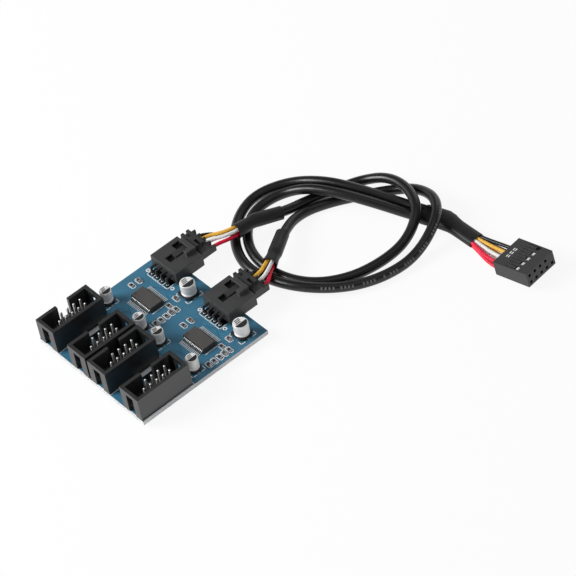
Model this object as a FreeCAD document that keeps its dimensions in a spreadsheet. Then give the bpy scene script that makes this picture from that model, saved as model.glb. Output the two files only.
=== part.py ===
"""Two-channel header splitter: a hub board with four box headers and a two-cable lead to one socket plug.

X runs along the row of box headers, Y from the box headers to the input connectors, Z up.
The origin is the middle of the board with its input headers, on the surface that the pin tails stand on.
"""
import FreeCAD, Part
import Sketcher
import math
import os
import re
from types import SimpleNamespace

Vector = FreeCAD.Vector
Rotation = FreeCAD.Rotation
Placement = FreeCAD.Placement
UP = Vector(0, 0, 1)

doc = FreeCAD.newDocument("header_splitter")

# Driving dimensions in millimetres and degrees
DIMENSIONS = {
    # circuit board
    "board_width": 52.0,
    "board_length": 50.5,
    "board_thick": 1.6,
    "tail_length": 1.5,
    "half_pitch": 26.0,
    "hole_size": 0.9,
    # pins on the common grid
    "pin_pitch": 2.54,
    "pin_size": 0.64,
    "pin_bevel": 0.15,
    # box headers
    "header_width": 8.9,
    "header_length": 20.3,
    "header_height": 9.0,
    "header_wall": 1.2,
    "header_floor": 2.4,
    "header_inset": 0.6,
    "header_gap": 1.05,
    "notch_width": 4.5,
    "slot_width": 3.3,
    "slot_drop": 1.5,
    "pin_recess": 0.6,
    # input headers
    "input_offset": 9.1,
    "input_width": 12.9,
    "input_length": 11.3,
    "input_overhang": 5.0,
    "input_standoff": 0.4,
    "input_height": 4.6,
    "input_wall": 1.0,
    "input_roof": 0.9,
    "input_floor": 1.1,
    "input_back": 1.2,
    "input_foot": 2.0,
    "latch_width": 2.7,
    "latch_left": 1.65,
    "latch_start": 2.3,
    "hood_left": 3.3,
    "hood_width": 6.7,
    "hood_length": 1.75,
    "hood_rise": 1.7,
    "hood_roof": 0.6,
    "arch_left": 2.6,
    "arch_width": 4.2,
    "cheek_length": 3.95,
    "cross_left": 4.55,
    "cross_gap": 0.75,
    "input_tail_gap": 2.2,
    "input_pin_reach": 6.5,
    # input plugs
    "plug_gap": 0.1,
    "plug_inset": 0.6,
    "plug_reach": 6.2,
    "lever_length": 3.3,
    "shoulder_rise": 0.6,
    "bar_width": 8.0,
    "bar_left": 5.3,
    "bar_length": 1.1,
    "bar_rise": 1.9,
    "bar_gap": 0.6,
    "web_left": 2.4,
    "web_width": 2.4,
    "tongue_start": 4.85,
    "tongue_width": 2.3,
    "tongue_rise": 0.3,
    "wire_notch": 1.0,
    "channel_size": 1.7,
    "contact_size": 1.5,
    "contact_bore": 0.72,
    "contact_length": 12.2,
    # hub chips
    "chip_offset": 13.5,
    "chip_share": 0.594,
    "chip_length": 10.2,
    "chip_width": 5.3,
    "chip_height": 1.75,
    "chip_standoff": 0.1,
    "chip_draft": 0.25,
    "chip_span": 7.8,
    "chip_lead_pitch": 0.65,
    "chip_lead_width": 0.3,
    "chip_lead_thick": 0.15,
    "chip_foot": 0.6,
    # can capacitors
    "small_can_diameter": 4.0,
    "large_can_diameter": 5.0,
    "can_top": 5.4,
    "can_base_height": 1.0,
    "can_base_margin": 0.3,
    "can_base_corner": 0.9,
    "can_terminal_width": 0.7,
    "can_terminal_thick": 0.15,
    "can_terminal_reach": 0.5,
    "can_terminal_gap": 0.5,
    "small_can_share": 0.194,
    "small_can_first": 4.1,
    "small_can_second": 21.0,
    "large_can_edge": 6.3,
    "large_can_offset": 21.25,
    # chip resistors and capacitors
    "chip_part_length": 1.6,
    "chip_part_width": 0.8,
    "chip_resistor_height": 0.45,
    "chip_capacitor_height": 0.8,
    "chip_terminal_length": 0.3,
    # cables, wires and sleeves
    "cable_diameter": 3.4,
    "cable_spacing": 3.5,
    "wire_diameter": 1.25,
    "wire_spacing": 1.28,
    "wire_lead": 0.8,
    "wire_fan": 0.25,
    "bundle_spacing": 1.7,
    "bundle_lead": 2.0,
    "wire_end_gap": 0.6,
    "shrink_cable_length": 9.6,
    "shrink_neck_gap": 1.8,
    "shrink_bulge_gap": 0.5,
    "shrink_mouth_diameter": 5.0,
    "shrink_neck_diameter": 4.3,
    "shrink_bulge_diameter": 4.7,
    "shrink_cable_diameter": 4.5,
    "shrink_wall": 0.25,
    "sleeve_entry": 8.0,
    "sleeve_neck": 4.0,
    "sleeve_length": 14.0,
    "sleeve_wall": 0.25,
    "sleeve_clearance": 0.2,
    # host plug
    "host_length": 14.0,
    "host_margin": 0.1,
    "host_columns": 5,
    "host_yaw": 6.0,
    "host_pitch_up": 10.0,
    "host_face": 1.4,
    "host_hole": 1.0,
    "host_channel": 1.9,
    "host_contact": 1.7,
    "host_contact_length": 8.0,
    "host_window_start": 4.0,
    "host_window_length": 1.4,
    "host_tongue_length": 3.9,
    "host_tongue_width": 1.1,
    "host_slit": 0.25,
    "host_distance": 26.8,
    "host_shift": 1.65,
}

sheet = doc.addObject("Spreadsheet::Sheet", "Sizes")
for line, (alias, number) in enumerate(DIMENSIONS.items(), start=1):
    sheet.set(f"A{line}", alias)
    sheet.set(f"B{line}", str(number))
    sheet.setAlias(f"B{line}", alias)
doc.recompute()
size = SimpleNamespace(**{alias: float(sheet.get(alias)) for alias in DIMENSIONS})

# Places on the board that follow from the driving dimensions
BOARD_TOP = "(tail_length + board_thick)"
FRONT = "(-(board_length + input_overhang) / 2)"
LEFT = "(-board_width / 2)"
HEADER_STEP = "(half_pitch - header_width - header_gap)"
FREE_LENGTH = "(board_length + input_overhang - input_length - input_tail_gap - header_length)"
board_top = size.tail_length + size.board_thick
front = -(size.board_length + size.input_overhang) / 2
left = -size.board_width / 2
mating_end = front + size.board_length + size.input_overhang
header_columns = 5
header_rows = 2
channels = 2
input_pins = 4
SIDES = ("a", "b")
COLOURS = ("black", "yellow", "white", "red")

nodes = {}


def formula(text):
    """Turns the plain names in a formula into references to the sheet."""
    return re.sub(r"\b([a-z]\w+)\b", r"Sizes.\1", text)


def place(thing, corner):
    """Binds the three coordinates of an object's placement to formulas."""
    for axis, text in zip("xyz", corner):
        thing.setExpression(f"Placement.Base.{axis}", formula(text))


def block(name, lengths, corner):
    """Adds a box whose lengths and lowest corner follow the sheet."""
    solid = doc.addObject("Part::Box", name)
    for prop, text in zip(("Length", "Width", "Height"), lengths):
        solid.setExpression(prop, formula(text))
    place(solid, corner)
    return solid


def fuse(name, solids):
    """Joins overlapping solids into one."""
    joined = doc.addObject("Part::MultiFuse", name)
    joined.Shapes = solids
    joined.Refine = True
    return joined


def cut(name, base, tools):
    """Takes one or more tool solids out of a base solid."""
    tool = tools[0]
    if len(tools) > 1:
        tool = doc.addObject("Part::Compound", f"{name}_tools")
        tool.Links = tools
    result = doc.addObject("Part::Cut", name)
    result.Base = base
    result.Tool = tool
    result.Refine = True
    return result


def coded(name, shape, placement=Placement()):
    """Adds an object whose shape is built by code from the sheet's values."""
    thing = doc.addObject("Part::Feature", name)
    thing.Shape = shape
    thing.Placement = placement
    return thing


def node(name, thing):
    """Labels a finished sub-part so that it is written under its own name."""
    thing.Label = name
    nodes[name] = thing
    return thing


def centred_box(dx, dy, dz, middle_x, middle_y, low_z):
    """Returns a box shape centred on a point in plan and standing on a height."""
    return Part.makeBox(dx, dy, dz, Vector(middle_x - dx / 2, middle_y - dy / 2, low_z))


def prism(outline, direction):
    """Extrudes a closed outline of points along a vector."""
    return Part.Face(Part.makePolygon(outline + outline[:1])).extrude(direction)


def origin_plane(body, role):
    """Finds one of a body's own origin planes."""
    return next(plane for plane in body.Origin.OriginFeatures if plane.Role == role)


def rectangle(body, name, width, length, offset):
    """Adds a centred rectangle sketch on the body's ground plane, shifted by three formulas."""
    sketch = body.newObject("Sketcher::SketchObject", name)
    sketch.AttachmentSupport = [(origin_plane(body, "XY_Plane"), "")]
    sketch.MapMode = "FlatFace"
    corners = [Vector(-1, -1, 0), Vector(1, -1, 0), Vector(1, 1, 0), Vector(-1, 1, 0)]
    for start, end in zip(corners, corners[1:] + corners[:1]):
        sketch.addGeometry(Part.LineSegment(start, end))
    for side in range(4):
        sketch.addConstraint(Sketcher.Constraint("Coincident", side, 2, (side + 1) % 4, 1))
        sketch.addConstraint(Sketcher.Constraint("Vertical" if side % 2 else "Horizontal", side))
    sketch.addConstraint(Sketcher.Constraint("Symmetric", 0, 1, 2, 1, -1, 1))
    for edge, kind, text in ((0, "DistanceX", width), (1, "DistanceY", length)):
        index = sketch.addConstraint(Sketcher.Constraint(kind, edge, 1, edge, 2, 2.0))
        sketch.setExpression(f"Constraints[{index}]", formula(text))
    for axis, text in zip("xyz", offset):
        sketch.setExpression(f"AttachmentOffset.Base.{axis}", formula(text))
    return sketch


def pad(body, sketch, height):
    """Raises a sketch into a solid by a formula."""
    feature = body.newObject("PartDesign::Pad", f"{sketch.Name}_pad")
    feature.Profile = sketch
    feature.setExpression("Length", formula(height))
    return feature


def pocket(body, sketch, depth):
    """Sinks a sketch into the body's solid by a formula."""
    feature = body.newObject("PartDesign::Pocket", f"{sketch.Name}_pocket")
    feature.Profile = sketch
    feature.setExpression("Length", formula(depth))
    return feature


def header_left(index):
    """Returns the formula of a box header's left wall: two headers in each half of the board."""
    half, second = divmod(index, 2)
    return f"({LEFT} + header_inset + {half} * half_pitch + {second} * {HEADER_STEP})"


def header_middle(index):
    """Returns the middle of a box header in plan."""
    half, second = divmod(index, 2)
    step = size.half_pitch - size.header_width - size.header_gap
    corner = left + size.header_inset + half * size.half_pitch + second * step
    return corner + size.header_width / 2, front + size.header_length / 2


def header_pin_places(index):
    """Lists a header's pins in plan: the keyed place beside the notch, at the board's edge, is empty."""
    middle_x, middle_y = header_middle(index)
    places = []
    for row in range(header_rows):
        for column in range(header_columns):
            if (row, column) == (0, 0):
                continue
            places.append((middle_x + (row - (header_rows - 1) / 2) * size.pin_pitch,
                           middle_y + (column - (header_columns - 1) / 2) * size.pin_pitch))
    return places


def input_middle(channel):
    """Returns the X of an input connector's middle."""
    return left + size.input_offset + channel * size.half_pitch


def input_pin_xs(channel):
    """Lists the X of the four pins of an input connector."""
    start = input_middle(channel) - (input_pins - 1) / 2 * size.pin_pitch
    return [start + pin * size.pin_pitch for pin in range(input_pins)]


def free_row(share):
    """Returns the formula of a row at a share of the length between the box headers and the input pins."""
    return f"({FRONT} + header_length + {share} * {FREE_LENGTH})"


input_back_y = mating_end - size.input_length
input_tail_y = input_back_y - size.input_tail_gap
cavity_floor = board_top + size.input_standoff + size.input_floor
cavity_top = board_top + size.input_standoff + size.input_height - size.input_roof
input_pin_z = (cavity_floor + cavity_top) / 2
free_start = front + size.header_length
free_length = input_tail_y - free_start


def build_board():
    """Drills the circuit board for every through-hole pin."""
    plate = block("board_plate", ("board_width", "board_length", "board_thick"), (LEFT, FRONT, "tail_length"))
    places = [spot for index in range(2 * channels) for spot in header_pin_places(index)]
    places += [(x, input_tail_y) for channel in range(channels) for x in input_pin_xs(channel)]
    drills = [centred_box(size.hole_size, size.hole_size, size.board_thick, x, y, size.tail_length)
              for x, y in places]
    node("circuit_board", cut("board", plate, [coded("board_drills", Part.makeCompound(drills))]))


def build_box_header(index):
    """Moulds one shrouded header with its key notch and end slots, and stands its pins in it."""
    name = f"box_header_shroud_{index + 1}"
    body = doc.addObject("PartDesign::Body", f"{name}_moulding")
    rim = "header_height"
    outline = rectangle(body, f"shroud_outline_{index}", "header_width", "header_length", ("0", "0", "0"))
    pad(body, outline, rim)
    inner_width = "header_width - 2 * header_wall"
    inner_length = "header_length - 2 * header_wall"
    deep = "header_height - header_floor"
    pocket(body, rectangle(body, f"shroud_cavity_{index}", inner_width, inner_length, ("0", "0", rim)), deep)
    notch_x = "-(header_width - header_wall) / 2"
    notch = rectangle(body, f"shroud_notch_{index}", "header_wall", "notch_width", (notch_x, "0", rim))
    pocket(body, notch, deep)
    slot_top = "header_height - slot_drop"
    for side in (-1, 1):
        slot_y = f"{side} * (header_length - header_wall) / 2"
        slot = rectangle(body, f"shroud_slot_{index}_{side + 1}", "slot_width", "header_wall",
                         ("0", slot_y, slot_top))
        pocket(body, slot, slot_top)
    place(body, (f"{header_left(index)} + header_width / 2", f"{FRONT} + header_length / 2", BOARD_TOP))
    holes = [centred_box(size.pin_size, size.pin_size, size.header_floor, x, y, board_top)
             for x, y in header_pin_places(index)]
    node(name, cut(f"shroud_{index}", body, [coded(f"shroud_pin_holes_{index}", Part.makeCompound(holes))]))
    tall = board_top + size.header_height - size.pin_recess
    pins = []
    for x, y in header_pin_places(index):
        pin = centred_box(size.pin_size, size.pin_size, tall, x, y, 0)
        tip = [edge for edge in pin.Edges if min(vertex.Z for vertex in edge.Vertexes) > tall - size.pin_size]
        pins.append(pin.makeChamfer(size.pin_bevel, tip))
    node(f"box_header_pins_{index + 1}", coded(f"pins_{index}", Part.makeCompound(pins)))


def build_input_header(channel):
    """Moulds the latching right-angle header over the board's far edge, with its four bent pins."""
    side = SIDES[channel]
    middle = f"({LEFT} + input_offset + {channel} * half_pitch)"
    back = f"({FRONT} + board_length + input_overhang - input_length)"
    low = f"({BOARD_TOP} + input_standoff)"
    top = f"({low} + input_height)"
    outer = block(f"input_outer_{side}", ("input_width", "input_length", "input_height"),
                  (f"{middle} - input_width / 2", back, low))
    feet = [block(f"input_foot_{side}_{end + 1}", ("input_wall", "input_foot", "input_standoff"),
                  (f"{middle} + {end} * (input_width - input_wall) / 2 - input_wall / 2", back, BOARD_TOP))
            for end in (-1, 1)]
    cavity = block(f"input_cavity_{side}",
                   ("input_width - 2 * input_wall", "input_length - input_back",
                    "input_height - input_floor - input_roof"),
                   (f"{middle} - input_width / 2 + input_wall", f"{back} + input_back",
                    f"{low} + input_floor"))
    roof_low = f"{top} - input_roof"
    mating = f"({back} + input_length)"
    hood = block(f"input_hood_{side}", ("hood_width", "hood_length", "hood_rise"),
                 (f"{middle} - hood_left", f"{mating} - hood_length", top))
    cheek = block(f"input_cheek_{side}", ("hood_width - hood_left - arch_width + arch_left",
                                          "cheek_length", "hood_rise"),
                  (f"{middle} - arch_left + arch_width", f"{mating} - cheek_length", top))
    arch = block(f"input_arch_{side}", ("arch_width", "hood_length", "hood_rise - hood_roof"),
                 (f"{middle} - arch_left", f"{mating} - hood_length", top))
    slot = block(f"input_latch_slot_{side}", ("latch_width", "input_length - latch_start", "input_roof"),
                 (f"{middle} - latch_left", f"{back} + latch_start", roof_low))
    cross = block(f"input_cross_slot_{side}",
                  ("cross_left - latch_left", "cheek_length - cross_gap", "input_roof"),
                  (f"{middle} - cross_left", f"{mating} - cheek_length", roof_low))
    pin_low = input_pin_z - size.pin_size / 2
    holes = [Part.makeBox(size.pin_size, size.input_back, size.pin_size,
                          Vector(x - size.pin_size / 2, input_back_y, pin_low))
             for x in input_pin_xs(channel)]
    pin_holes = coded(f"input_pin_holes_{side}", Part.makeCompound(holes))
    shell = fuse(f"input_shell_{side}", [outer, hood, cheek] + feet)
    node(f"input_header_{side}", cut(f"input_{side}", shell, [cavity, arch, slot, cross, pin_holes]))
    half = size.pin_size / 2
    outline = [(input_tail_y - half, 0), (input_tail_y + half, 0), (input_tail_y + half, pin_low),
               (input_back_y + size.input_pin_reach, pin_low),
               (input_back_y + size.input_pin_reach, pin_low + size.pin_size),
               (input_tail_y - half, pin_low + size.pin_size)]
    pins = [prism([Vector(x - half, y, z) for y, z in outline], Vector(size.pin_size, 0, 0))
            for x in input_pin_xs(channel)]
    node(f"input_header_pins_{side}", coded(f"input_pins_{side}", Part.makeCompound(pins)))


def build_input_plug(channel):
    """Moulds the cable plug that is latched in an input header, with its four crimped contacts."""
    side = SIDES[channel]
    middle = f"({LEFT} + input_offset + {channel} * half_pitch)"
    back = f"({FRONT} + board_length + input_overhang - input_length)"
    end = f"({FRONT} + board_length + input_overhang + plug_reach)"
    floor = f"({BOARD_TOP} + input_standoff + input_floor + plug_gap)"
    start = f"({back} + input_back + plug_inset)"
    height = "(input_height - input_floor - input_roof - 2 * plug_gap)"
    width = "(input_width - 2 * input_wall - 2 * plug_gap)"
    edge = f"({middle} - {width} / 2)"
    mating = f"({FRONT} + board_length + input_overhang)"
    insert = block(f"plug_insert_{side}", (width, f"{end} - {start}", height), (edge, start, floor))
    shoulder = block(f"plug_shoulder_{side}", (width, "lever_length", f"{height} + shoulder_rise"),
                     (edge, f"{mating} + bar_gap", floor))
    web = block(f"plug_web_{side}", ("web_width", "lever_length", f"{height} + bar_rise"),
                (f"{middle} - web_left", f"{mating} + bar_gap", floor))
    bars = [block(f"plug_bar_{side}_{spot}", ("bar_width", "bar_length", f"{height} + bar_rise"),
                  (f"{middle} - bar_left", f"{mating} + bar_gap + {spot} * (lever_length - bar_length)",
                   floor))
            for spot in (0, 1)]
    tongue = block(f"plug_tongue_{side}",
                   ("tongue_width", "input_length - tongue_start + bar_gap",
                    "input_roof + plug_gap + tongue_rise"),
                   (f"{middle} - latch_left + plug_gap", f"{back} + tongue_start", f"{floor} + {height}"))
    solid = fuse(f"plug_solid_{side}", [insert, shoulder, web, tongue] + bars)
    half = size.channel_size / 2
    end_y = mating_end + size.plug_reach
    start_y = input_back_y + size.input_back + size.plug_inset
    open_y = end_y - size.wire_notch
    tunnels = []
    for x in input_pin_xs(channel):
        tunnels.append(Part.makeBox(size.channel_size, end_y - start_y, size.channel_size,
                                    Vector(x - half, start_y, input_pin_z - half)))
        tunnels.append(Part.makeBox(size.channel_size, end_y - open_y, cavity_top - input_pin_z,
                                    Vector(x - half, open_y, input_pin_z)))
    node(f"input_plug_{side}",
         cut(f"plug_{side}", solid, [coded(f"plug_tunnels_{side}", Part.makeCompound(tunnels))]))
    contacts = []
    for x in input_pin_xs(channel):
        outer = Part.makeBox(size.contact_size, size.contact_length, size.contact_size,
                             Vector(x - size.contact_size / 2, start_y, input_pin_z - size.contact_size / 2))
        bore = Part.makeBox(size.contact_bore, size.contact_length, size.contact_bore,
                            Vector(x - size.contact_bore / 2, start_y, input_pin_z - size.contact_bore / 2))
        contacts.append(outer.cut(bore))
    node(f"input_plug_contacts_{side}", coded(f"plug_contacts_{side}", Part.makeCompound(contacts)))


def build_hub_chip(channel):
    """Sets one moulded hub chip on the board with a row of gull-wing leads on each long side."""
    side = SIDES[channel]
    middle = f"({LEFT} + chip_offset + {channel} * half_pitch)"
    body = doc.addObject("Part::Wedge", f"chip_body_{side}")
    spans = {"X": "chip_length", "Z": "chip_width"}
    for axis, text in spans.items():
        body.setExpression(f"{axis}min", formula(f"-{text} / 2"))
        body.setExpression(f"{axis}max", formula(f"{text} / 2"))
        body.setExpression(f"{axis}2min", formula(f"chip_draft - {text} / 2"))
        body.setExpression(f"{axis}2max", formula(f"{text} / 2 - chip_draft"))
    body.Ymin = 0
    body.setExpression("Ymax", formula("chip_height"))
    body.Placement.Rotation = Rotation(Vector(1, 0, 0), 90)
    place(body, (middle, free_row("chip_share"), f"{BOARD_TOP} + chip_standoff"))
    node(f"hub_chip_{side}", body)
    leads_per_side = 14
    thick = size.chip_lead_thick
    shoulder = board_top + size.chip_standoff + size.chip_height / 2
    outer = size.chip_span / 2
    knee = outer - size.chip_foot
    slope = size.chip_draft / size.chip_height
    upper_wall = size.chip_width / 2 - slope * size.chip_height / 2
    lower_wall = upper_wall + slope * thick
    outline = [(lower_wall, shoulder - thick), (upper_wall, shoulder), (knee + thick, board_top + thick),
               (outer, board_top + thick), (outer, board_top), (knee, board_top)]
    chip_x = left + size.chip_offset + channel * size.half_pitch
    chip_y = free_start + size.chip_share * free_length
    leads = []
    for lead in range(leads_per_side):
        x = chip_x + (lead - (leads_per_side - 1) / 2) * size.chip_lead_pitch - size.chip_lead_width / 2
        for way in (-1, 1):
            points = [Vector(x, chip_y + way * y, z) for y, z in outline]
            leads.append(prism(points, Vector(size.chip_lead_width, 0, 0)))
    node(f"hub_chip_leads_{side}", coded(f"chip_leads_{side}", Part.makeCompound(leads)))


def can_list():
    """Lists each can capacitor: the formulas of its diameter and of its middle in plan."""
    kinds = (("small_can_diameter", "small_can_first", free_row("small_can_share")),
             ("small_can_diameter", "small_can_second", free_row("small_can_share")),
             ("large_can_diameter", "large_can_offset", f"({FRONT} + board_length - large_can_edge)"))
    return [(diameter, f"({LEFT} + {offset} + {channel} * half_pitch)", row)
            for channel in range(channels) for diameter, offset, row in kinds]


def build_cans():
    """Sets each aluminium can on its moulded base, which has two flat terminals under it."""
    terminals = []
    for number, (diameter, can_x, can_y) in enumerate(can_list(), start=1):
        can = doc.addObject("Part::Cylinder", f"can_{number}")
        can.setExpression("Radius", formula(f"{diameter} / 2"))
        can.setExpression("Height", formula("can_top - can_base_height"))
        place(can, (can_x, can_y, f"{BOARD_TOP} + can_base_height"))
        node(f"capacitor_can_{number}", can)
        side = f"({diameter} + can_base_margin)"
        slab = block(f"can_base_slab_{number}", (side, side, "can_base_height - can_terminal_thick"),
                     (f"{can_x} - {side} / 2", f"{can_y} - {side} / 2", f"{BOARD_TOP} + can_terminal_thick"))
        doc.recompute()
        middle = slab.Shape.CenterOfMass
        base = doc.addObject("Part::Chamfer", f"can_base_{number}")
        base.Base = slab
        base.Edges = [(index, size.can_base_corner, size.can_base_corner)
                      for index, edge in enumerate(slab.Shape.Edges, start=1)
                      if abs(edge.tangentAt(edge.FirstParameter).z) > 0.5 and edge.CenterOfMass.x > middle.x]
        node(f"capacitor_base_{number}", base)
        reach = slab.Shape.BoundBox.XLength / 2 + size.can_terminal_reach
        inside = size.can_terminal_gap
        for way in (-1, 1):
            terminals.append(centred_box(reach - inside, size.can_terminal_width, size.can_terminal_thick,
                                         middle.x + way * (reach + inside) / 2, middle.y, board_top))
    node("capacitor_terminals", coded("can_terminals", Part.makeCompound(terminals)))


# Small parts of one channel: offset from the channel's left edge, share of the free length
CHIP_RESISTOR_PLACES = ((23.2, 0.774), (23.2, 0.59), (23.2, 0.488), (4.35, 0.64), (20.3, 0.746))
CHIP_CAPACITOR_PLACES = ((23.2, 0.682), (23.2, 0.392), (4.4, 0.77), (19.6, 0.908))


def build_chip_parts():
    """Sets the small resistors and capacitors on the board with their plated ends."""
    kinds = (("chip_resistors", CHIP_RESISTOR_PLACES, size.chip_resistor_height),
             ("chip_capacitors", CHIP_CAPACITOR_PLACES, size.chip_capacitor_height))
    ends = []
    core = size.chip_part_length - 2 * size.chip_terminal_length
    for name, places, height in kinds:
        bodies = []
        for channel in range(channels):
            for offset, share in places:
                x = left + offset + channel * size.half_pitch
                y = free_start + share * free_length
                bodies.append(centred_box(core, size.chip_part_width, height, x, y, board_top))
                for way in (-1, 1):
                    end_x = x + way * (core + size.chip_terminal_length) / 2
                    ends.append(centred_box(size.chip_terminal_length, size.chip_part_width, height,
                                            end_x, y, board_top))
        node(name, coded(f"{name}_group", Part.makeCompound(bodies)))
    node("chip_part_terminals", coded("chip_ends", Part.makeCompound(ends)))


# Routes of the two cables, from the jacket's end in the heat-shrink to its end in the joint sleeve
CABLE_ROUTES = {
    "a": [(-11.9, 50.2, 5.6), (-8.8, 60.1, 4.0), (-8.8, 70.6, 1.7), (-5.6, 79.8, 1.7), (-2.2, 87.6, 2.2),
          (6.0, 92.3, 5.6), (16.4, 92.2, 7.0), (25.6, 87.7, 6.6), (29.5, 78.6, 2.4), (30.0, 67.4, 1.7),
          (27.4, 55.6, 1.7), (20.2, 46.0, 1.7), (9.6, 41.2, 1.7), (-2.6, 41.2, 1.7), (-12.6, 46.4, 1.7),
          (-19.0, 55.4, 1.7), (-17.6, 65.4, 2.6), (-9.4, 71.4, 6.2), (0.6, 76.2, 6.6), (11.2, 81.8, 4.8),
          (22.0, 87.5, 2.2), (32.8, 91.4, 2.2)],
    "b": [(4.3, 45.0, 5.6), (-2.8, 55.1, 4.2), (-6.2, 65.0, 1.7), (-2.8, 74.2, 1.7), (2.6, 83.0, 1.7),
          (8.2, 91.4, 1.7), (16.6, 96.0, 4.4), (27.2, 94.6, 7.4), (34.4, 86.8, 6.8), (36.5, 76.0, 2.2),
          (35.6, 64.6, 1.7), (31.4, 53.4, 2.4), (23.4, 43.8, 3.5), (12.2, 38.0, 3.2), (-0.8, 36.4, 2.0),
          (-12.4, 41.2, 1.7), (-20.8, 50.0, 1.7), (-24.2, 60.6, 1.7), (-18.2, 70.8, 3.8), (-7.8, 76.8, 6.4),
          (2.2, 81.6, 6.0), (12.0, 86.8, 3.6), (21.6, 91.1, 2.2), (31.6, 94.7, 2.2)],
}
# Middles of the heat-shrinks' mouths, where the bare wires go in
SHRINK_MOUTHS = {"a": (-12.0, 42.7, 6.2), "b": (7.1, 40.4, 6.0)}
BEND_SHARE = 0.45
CABLE_SIDES = 5
WIRE_SIDES = 4
SHRINK_SIDES = 12


def rounded_path(points):
    """Returns a wire of straight runs joined by tangent arcs, and the arcs' radii."""
    edges = []
    radii = []
    last = points[0]
    for before, corner, after in zip(points, points[1:], points[2:]):
        into = (corner - before).normalize()
        away = (after - corner).normalize()
        half_turn = into.getAngle(away) / 2
        setback = BEND_SHARE * min(before.distanceToPoint(corner), corner.distanceToPoint(after))
        start = corner - into * setback
        finish = corner + away * setback
        radius = setback / math.tan(half_turn)
        inward = (away - into).normalize()
        middle = corner + inward * (radius / math.cos(half_turn) - radius)
        edges.append(Part.LineSegment(last, start).toShape())
        edges.append(Part.Arc(start, middle, finish).toShape())
        radii.append(radius)
        last = finish
    edges.append(Part.LineSegment(last, points[-1]).toShape())
    return Part.Wire(edges), radii


def faceted_tube(points, diameter, sides):
    """Sweeps an even-sided section of a round cord along a rounded path."""
    path, radii = rounded_path(points)
    along = (points[1] - points[0]).normalize()
    across = along.cross(UP).normalize()
    upward = across.cross(along)
    rim = []
    for corner in range(sides):
        angle = 2 * math.pi * (corner + 0.5) / sides
        rim.append(points[0] + (across * math.cos(angle) + upward * math.sin(angle)) * (diameter / 2))
    tube = path.makePipeShell([Part.makePolygon(rim + rim[:1])], True, False)
    return tube, path.Length, radii


def faceted_skin(sections):
    """Returns the solid of flat triangles through a row of sections with equal numbers of points."""
    faces = [Part.Face(Part.makePolygon(ring + ring[:1])) for ring in (sections[0], sections[-1])]
    for near, far in zip(sections, sections[1:]):
        sides = zip(near, near[1:] + near[:1], far, far[1:] + far[:1])
        for near_this, near_next, far_this, far_next in sides:
            for ring in ([near_this, near_next, far_next], [near_this, far_next, far_this]):
                faces.append(Part.Face(Part.makePolygon(ring + ring[:1])))
    solid = Part.Solid(Part.Shell(faces))
    return solid if solid.Volume > 0 else solid.reversed()


def route_points(side):
    """Returns a cable's route as vectors."""
    return [Vector(*point) for point in CABLE_ROUTES[side]]


def build_cable(side):
    """Sweeps one cable jacket along its route and reports its bends and its volume against its length."""
    tube, length, radii = faceted_tube(route_points(side), size.cable_diameter, CABLE_SIDES)
    expected = CABLE_SIDES / 8 * size.cable_diameter ** 2 * math.sin(2 * math.pi / CABLE_SIDES) * length
    print(f"cable {side}: length {length:.1f}, volume ratio {tube.Volume / expected:.4f}")
    print("  radii", [round(radius, 1) for radius in radii])
    node(f"cable_{side}", coded(f"cable_{side}_jacket", tube))


def shrink_axis(side):
    """Returns a heat-shrink's mouth, the way in from it, the jacket's end and the cable's first direction."""
    first, second = route_points(side)[:2]
    mouth = Vector(*SHRINK_MOUTHS[side])
    return mouth, (first - mouth).normalize(), first, (second - first).normalize()


def shrink_section(middle, along, radius):
    """Returns a twelve-sided section square to a direction, whose flats stand at a radius."""
    rim = radius / math.cos(math.pi / SHRINK_SIDES)
    across = along.cross(UP).normalize()
    upward = across.cross(along)
    points = []
    for corner in range(SHRINK_SIDES):
        angle = 2 * math.pi * (corner + 0.5) / SHRINK_SIDES
        points.append(middle + (across * math.cos(angle) + upward * math.sin(angle)) * rim)
    return points


def build_heat_shrink(side):
    """Shapes the shrunk sleeve over a cable's end: drawn in on the wires and full on the jacket."""
    mouth, inward, jacket_end, along = shrink_axis(side)
    stations = [(mouth, inward, size.shrink_mouth_diameter),
                (jacket_end - inward * size.shrink_neck_gap, inward, size.shrink_neck_diameter),
                (jacket_end + along * size.shrink_bulge_gap, along, size.shrink_bulge_diameter),
                (jacket_end + along * size.shrink_cable_length, along, size.shrink_cable_diameter)]
    outer, inner = [faceted_skin([shrink_section(middle, way, diameter / 2 - skin)
                                  for middle, way, diameter in stations])
                    for skin in (0, size.shrink_wall)]
    node(f"heat_shrink_{side}", coded(f"shrink_{side}", outer.cut(inner)))


def sleeve_bend():
    """Returns the joint sleeve's bend point, its entry direction and the direction of its narrow end."""
    first = route_points("a")
    second = route_points("b")
    middle = (first[-1] + second[-1]) * 0.5
    entry = (first[-1] - first[-2]).normalize()
    return middle, entry, Vector(1, 0, 0)


def eight_sided(middle, along, width, height, corner):
    """Returns a flat section with cut corners standing across a direction."""
    across = UP.cross(along).normalize()
    half_width = width / 2
    half_height = height / 2
    quarter = [(half_width - corner, half_height), (half_width, half_height - corner)]
    ring = quarter + [(y, -z) for y, z in reversed(quarter)]
    ring += [(-y, z) for y, z in reversed(ring)]
    return [middle + across * y + UP * z for y, z in ring]


def sleeve_section(spot, along, spacing, diameter, margin):
    """Returns the sleeve's section round a row of round things, with corners cut just clear of them."""
    wide, high = spacing
    corner = (diameter / 2 + margin) * (2 - math.sqrt(2))
    return eight_sided(spot, along, wide + diameter + 2 * margin, high + diameter + 2 * margin, corner)


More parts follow.
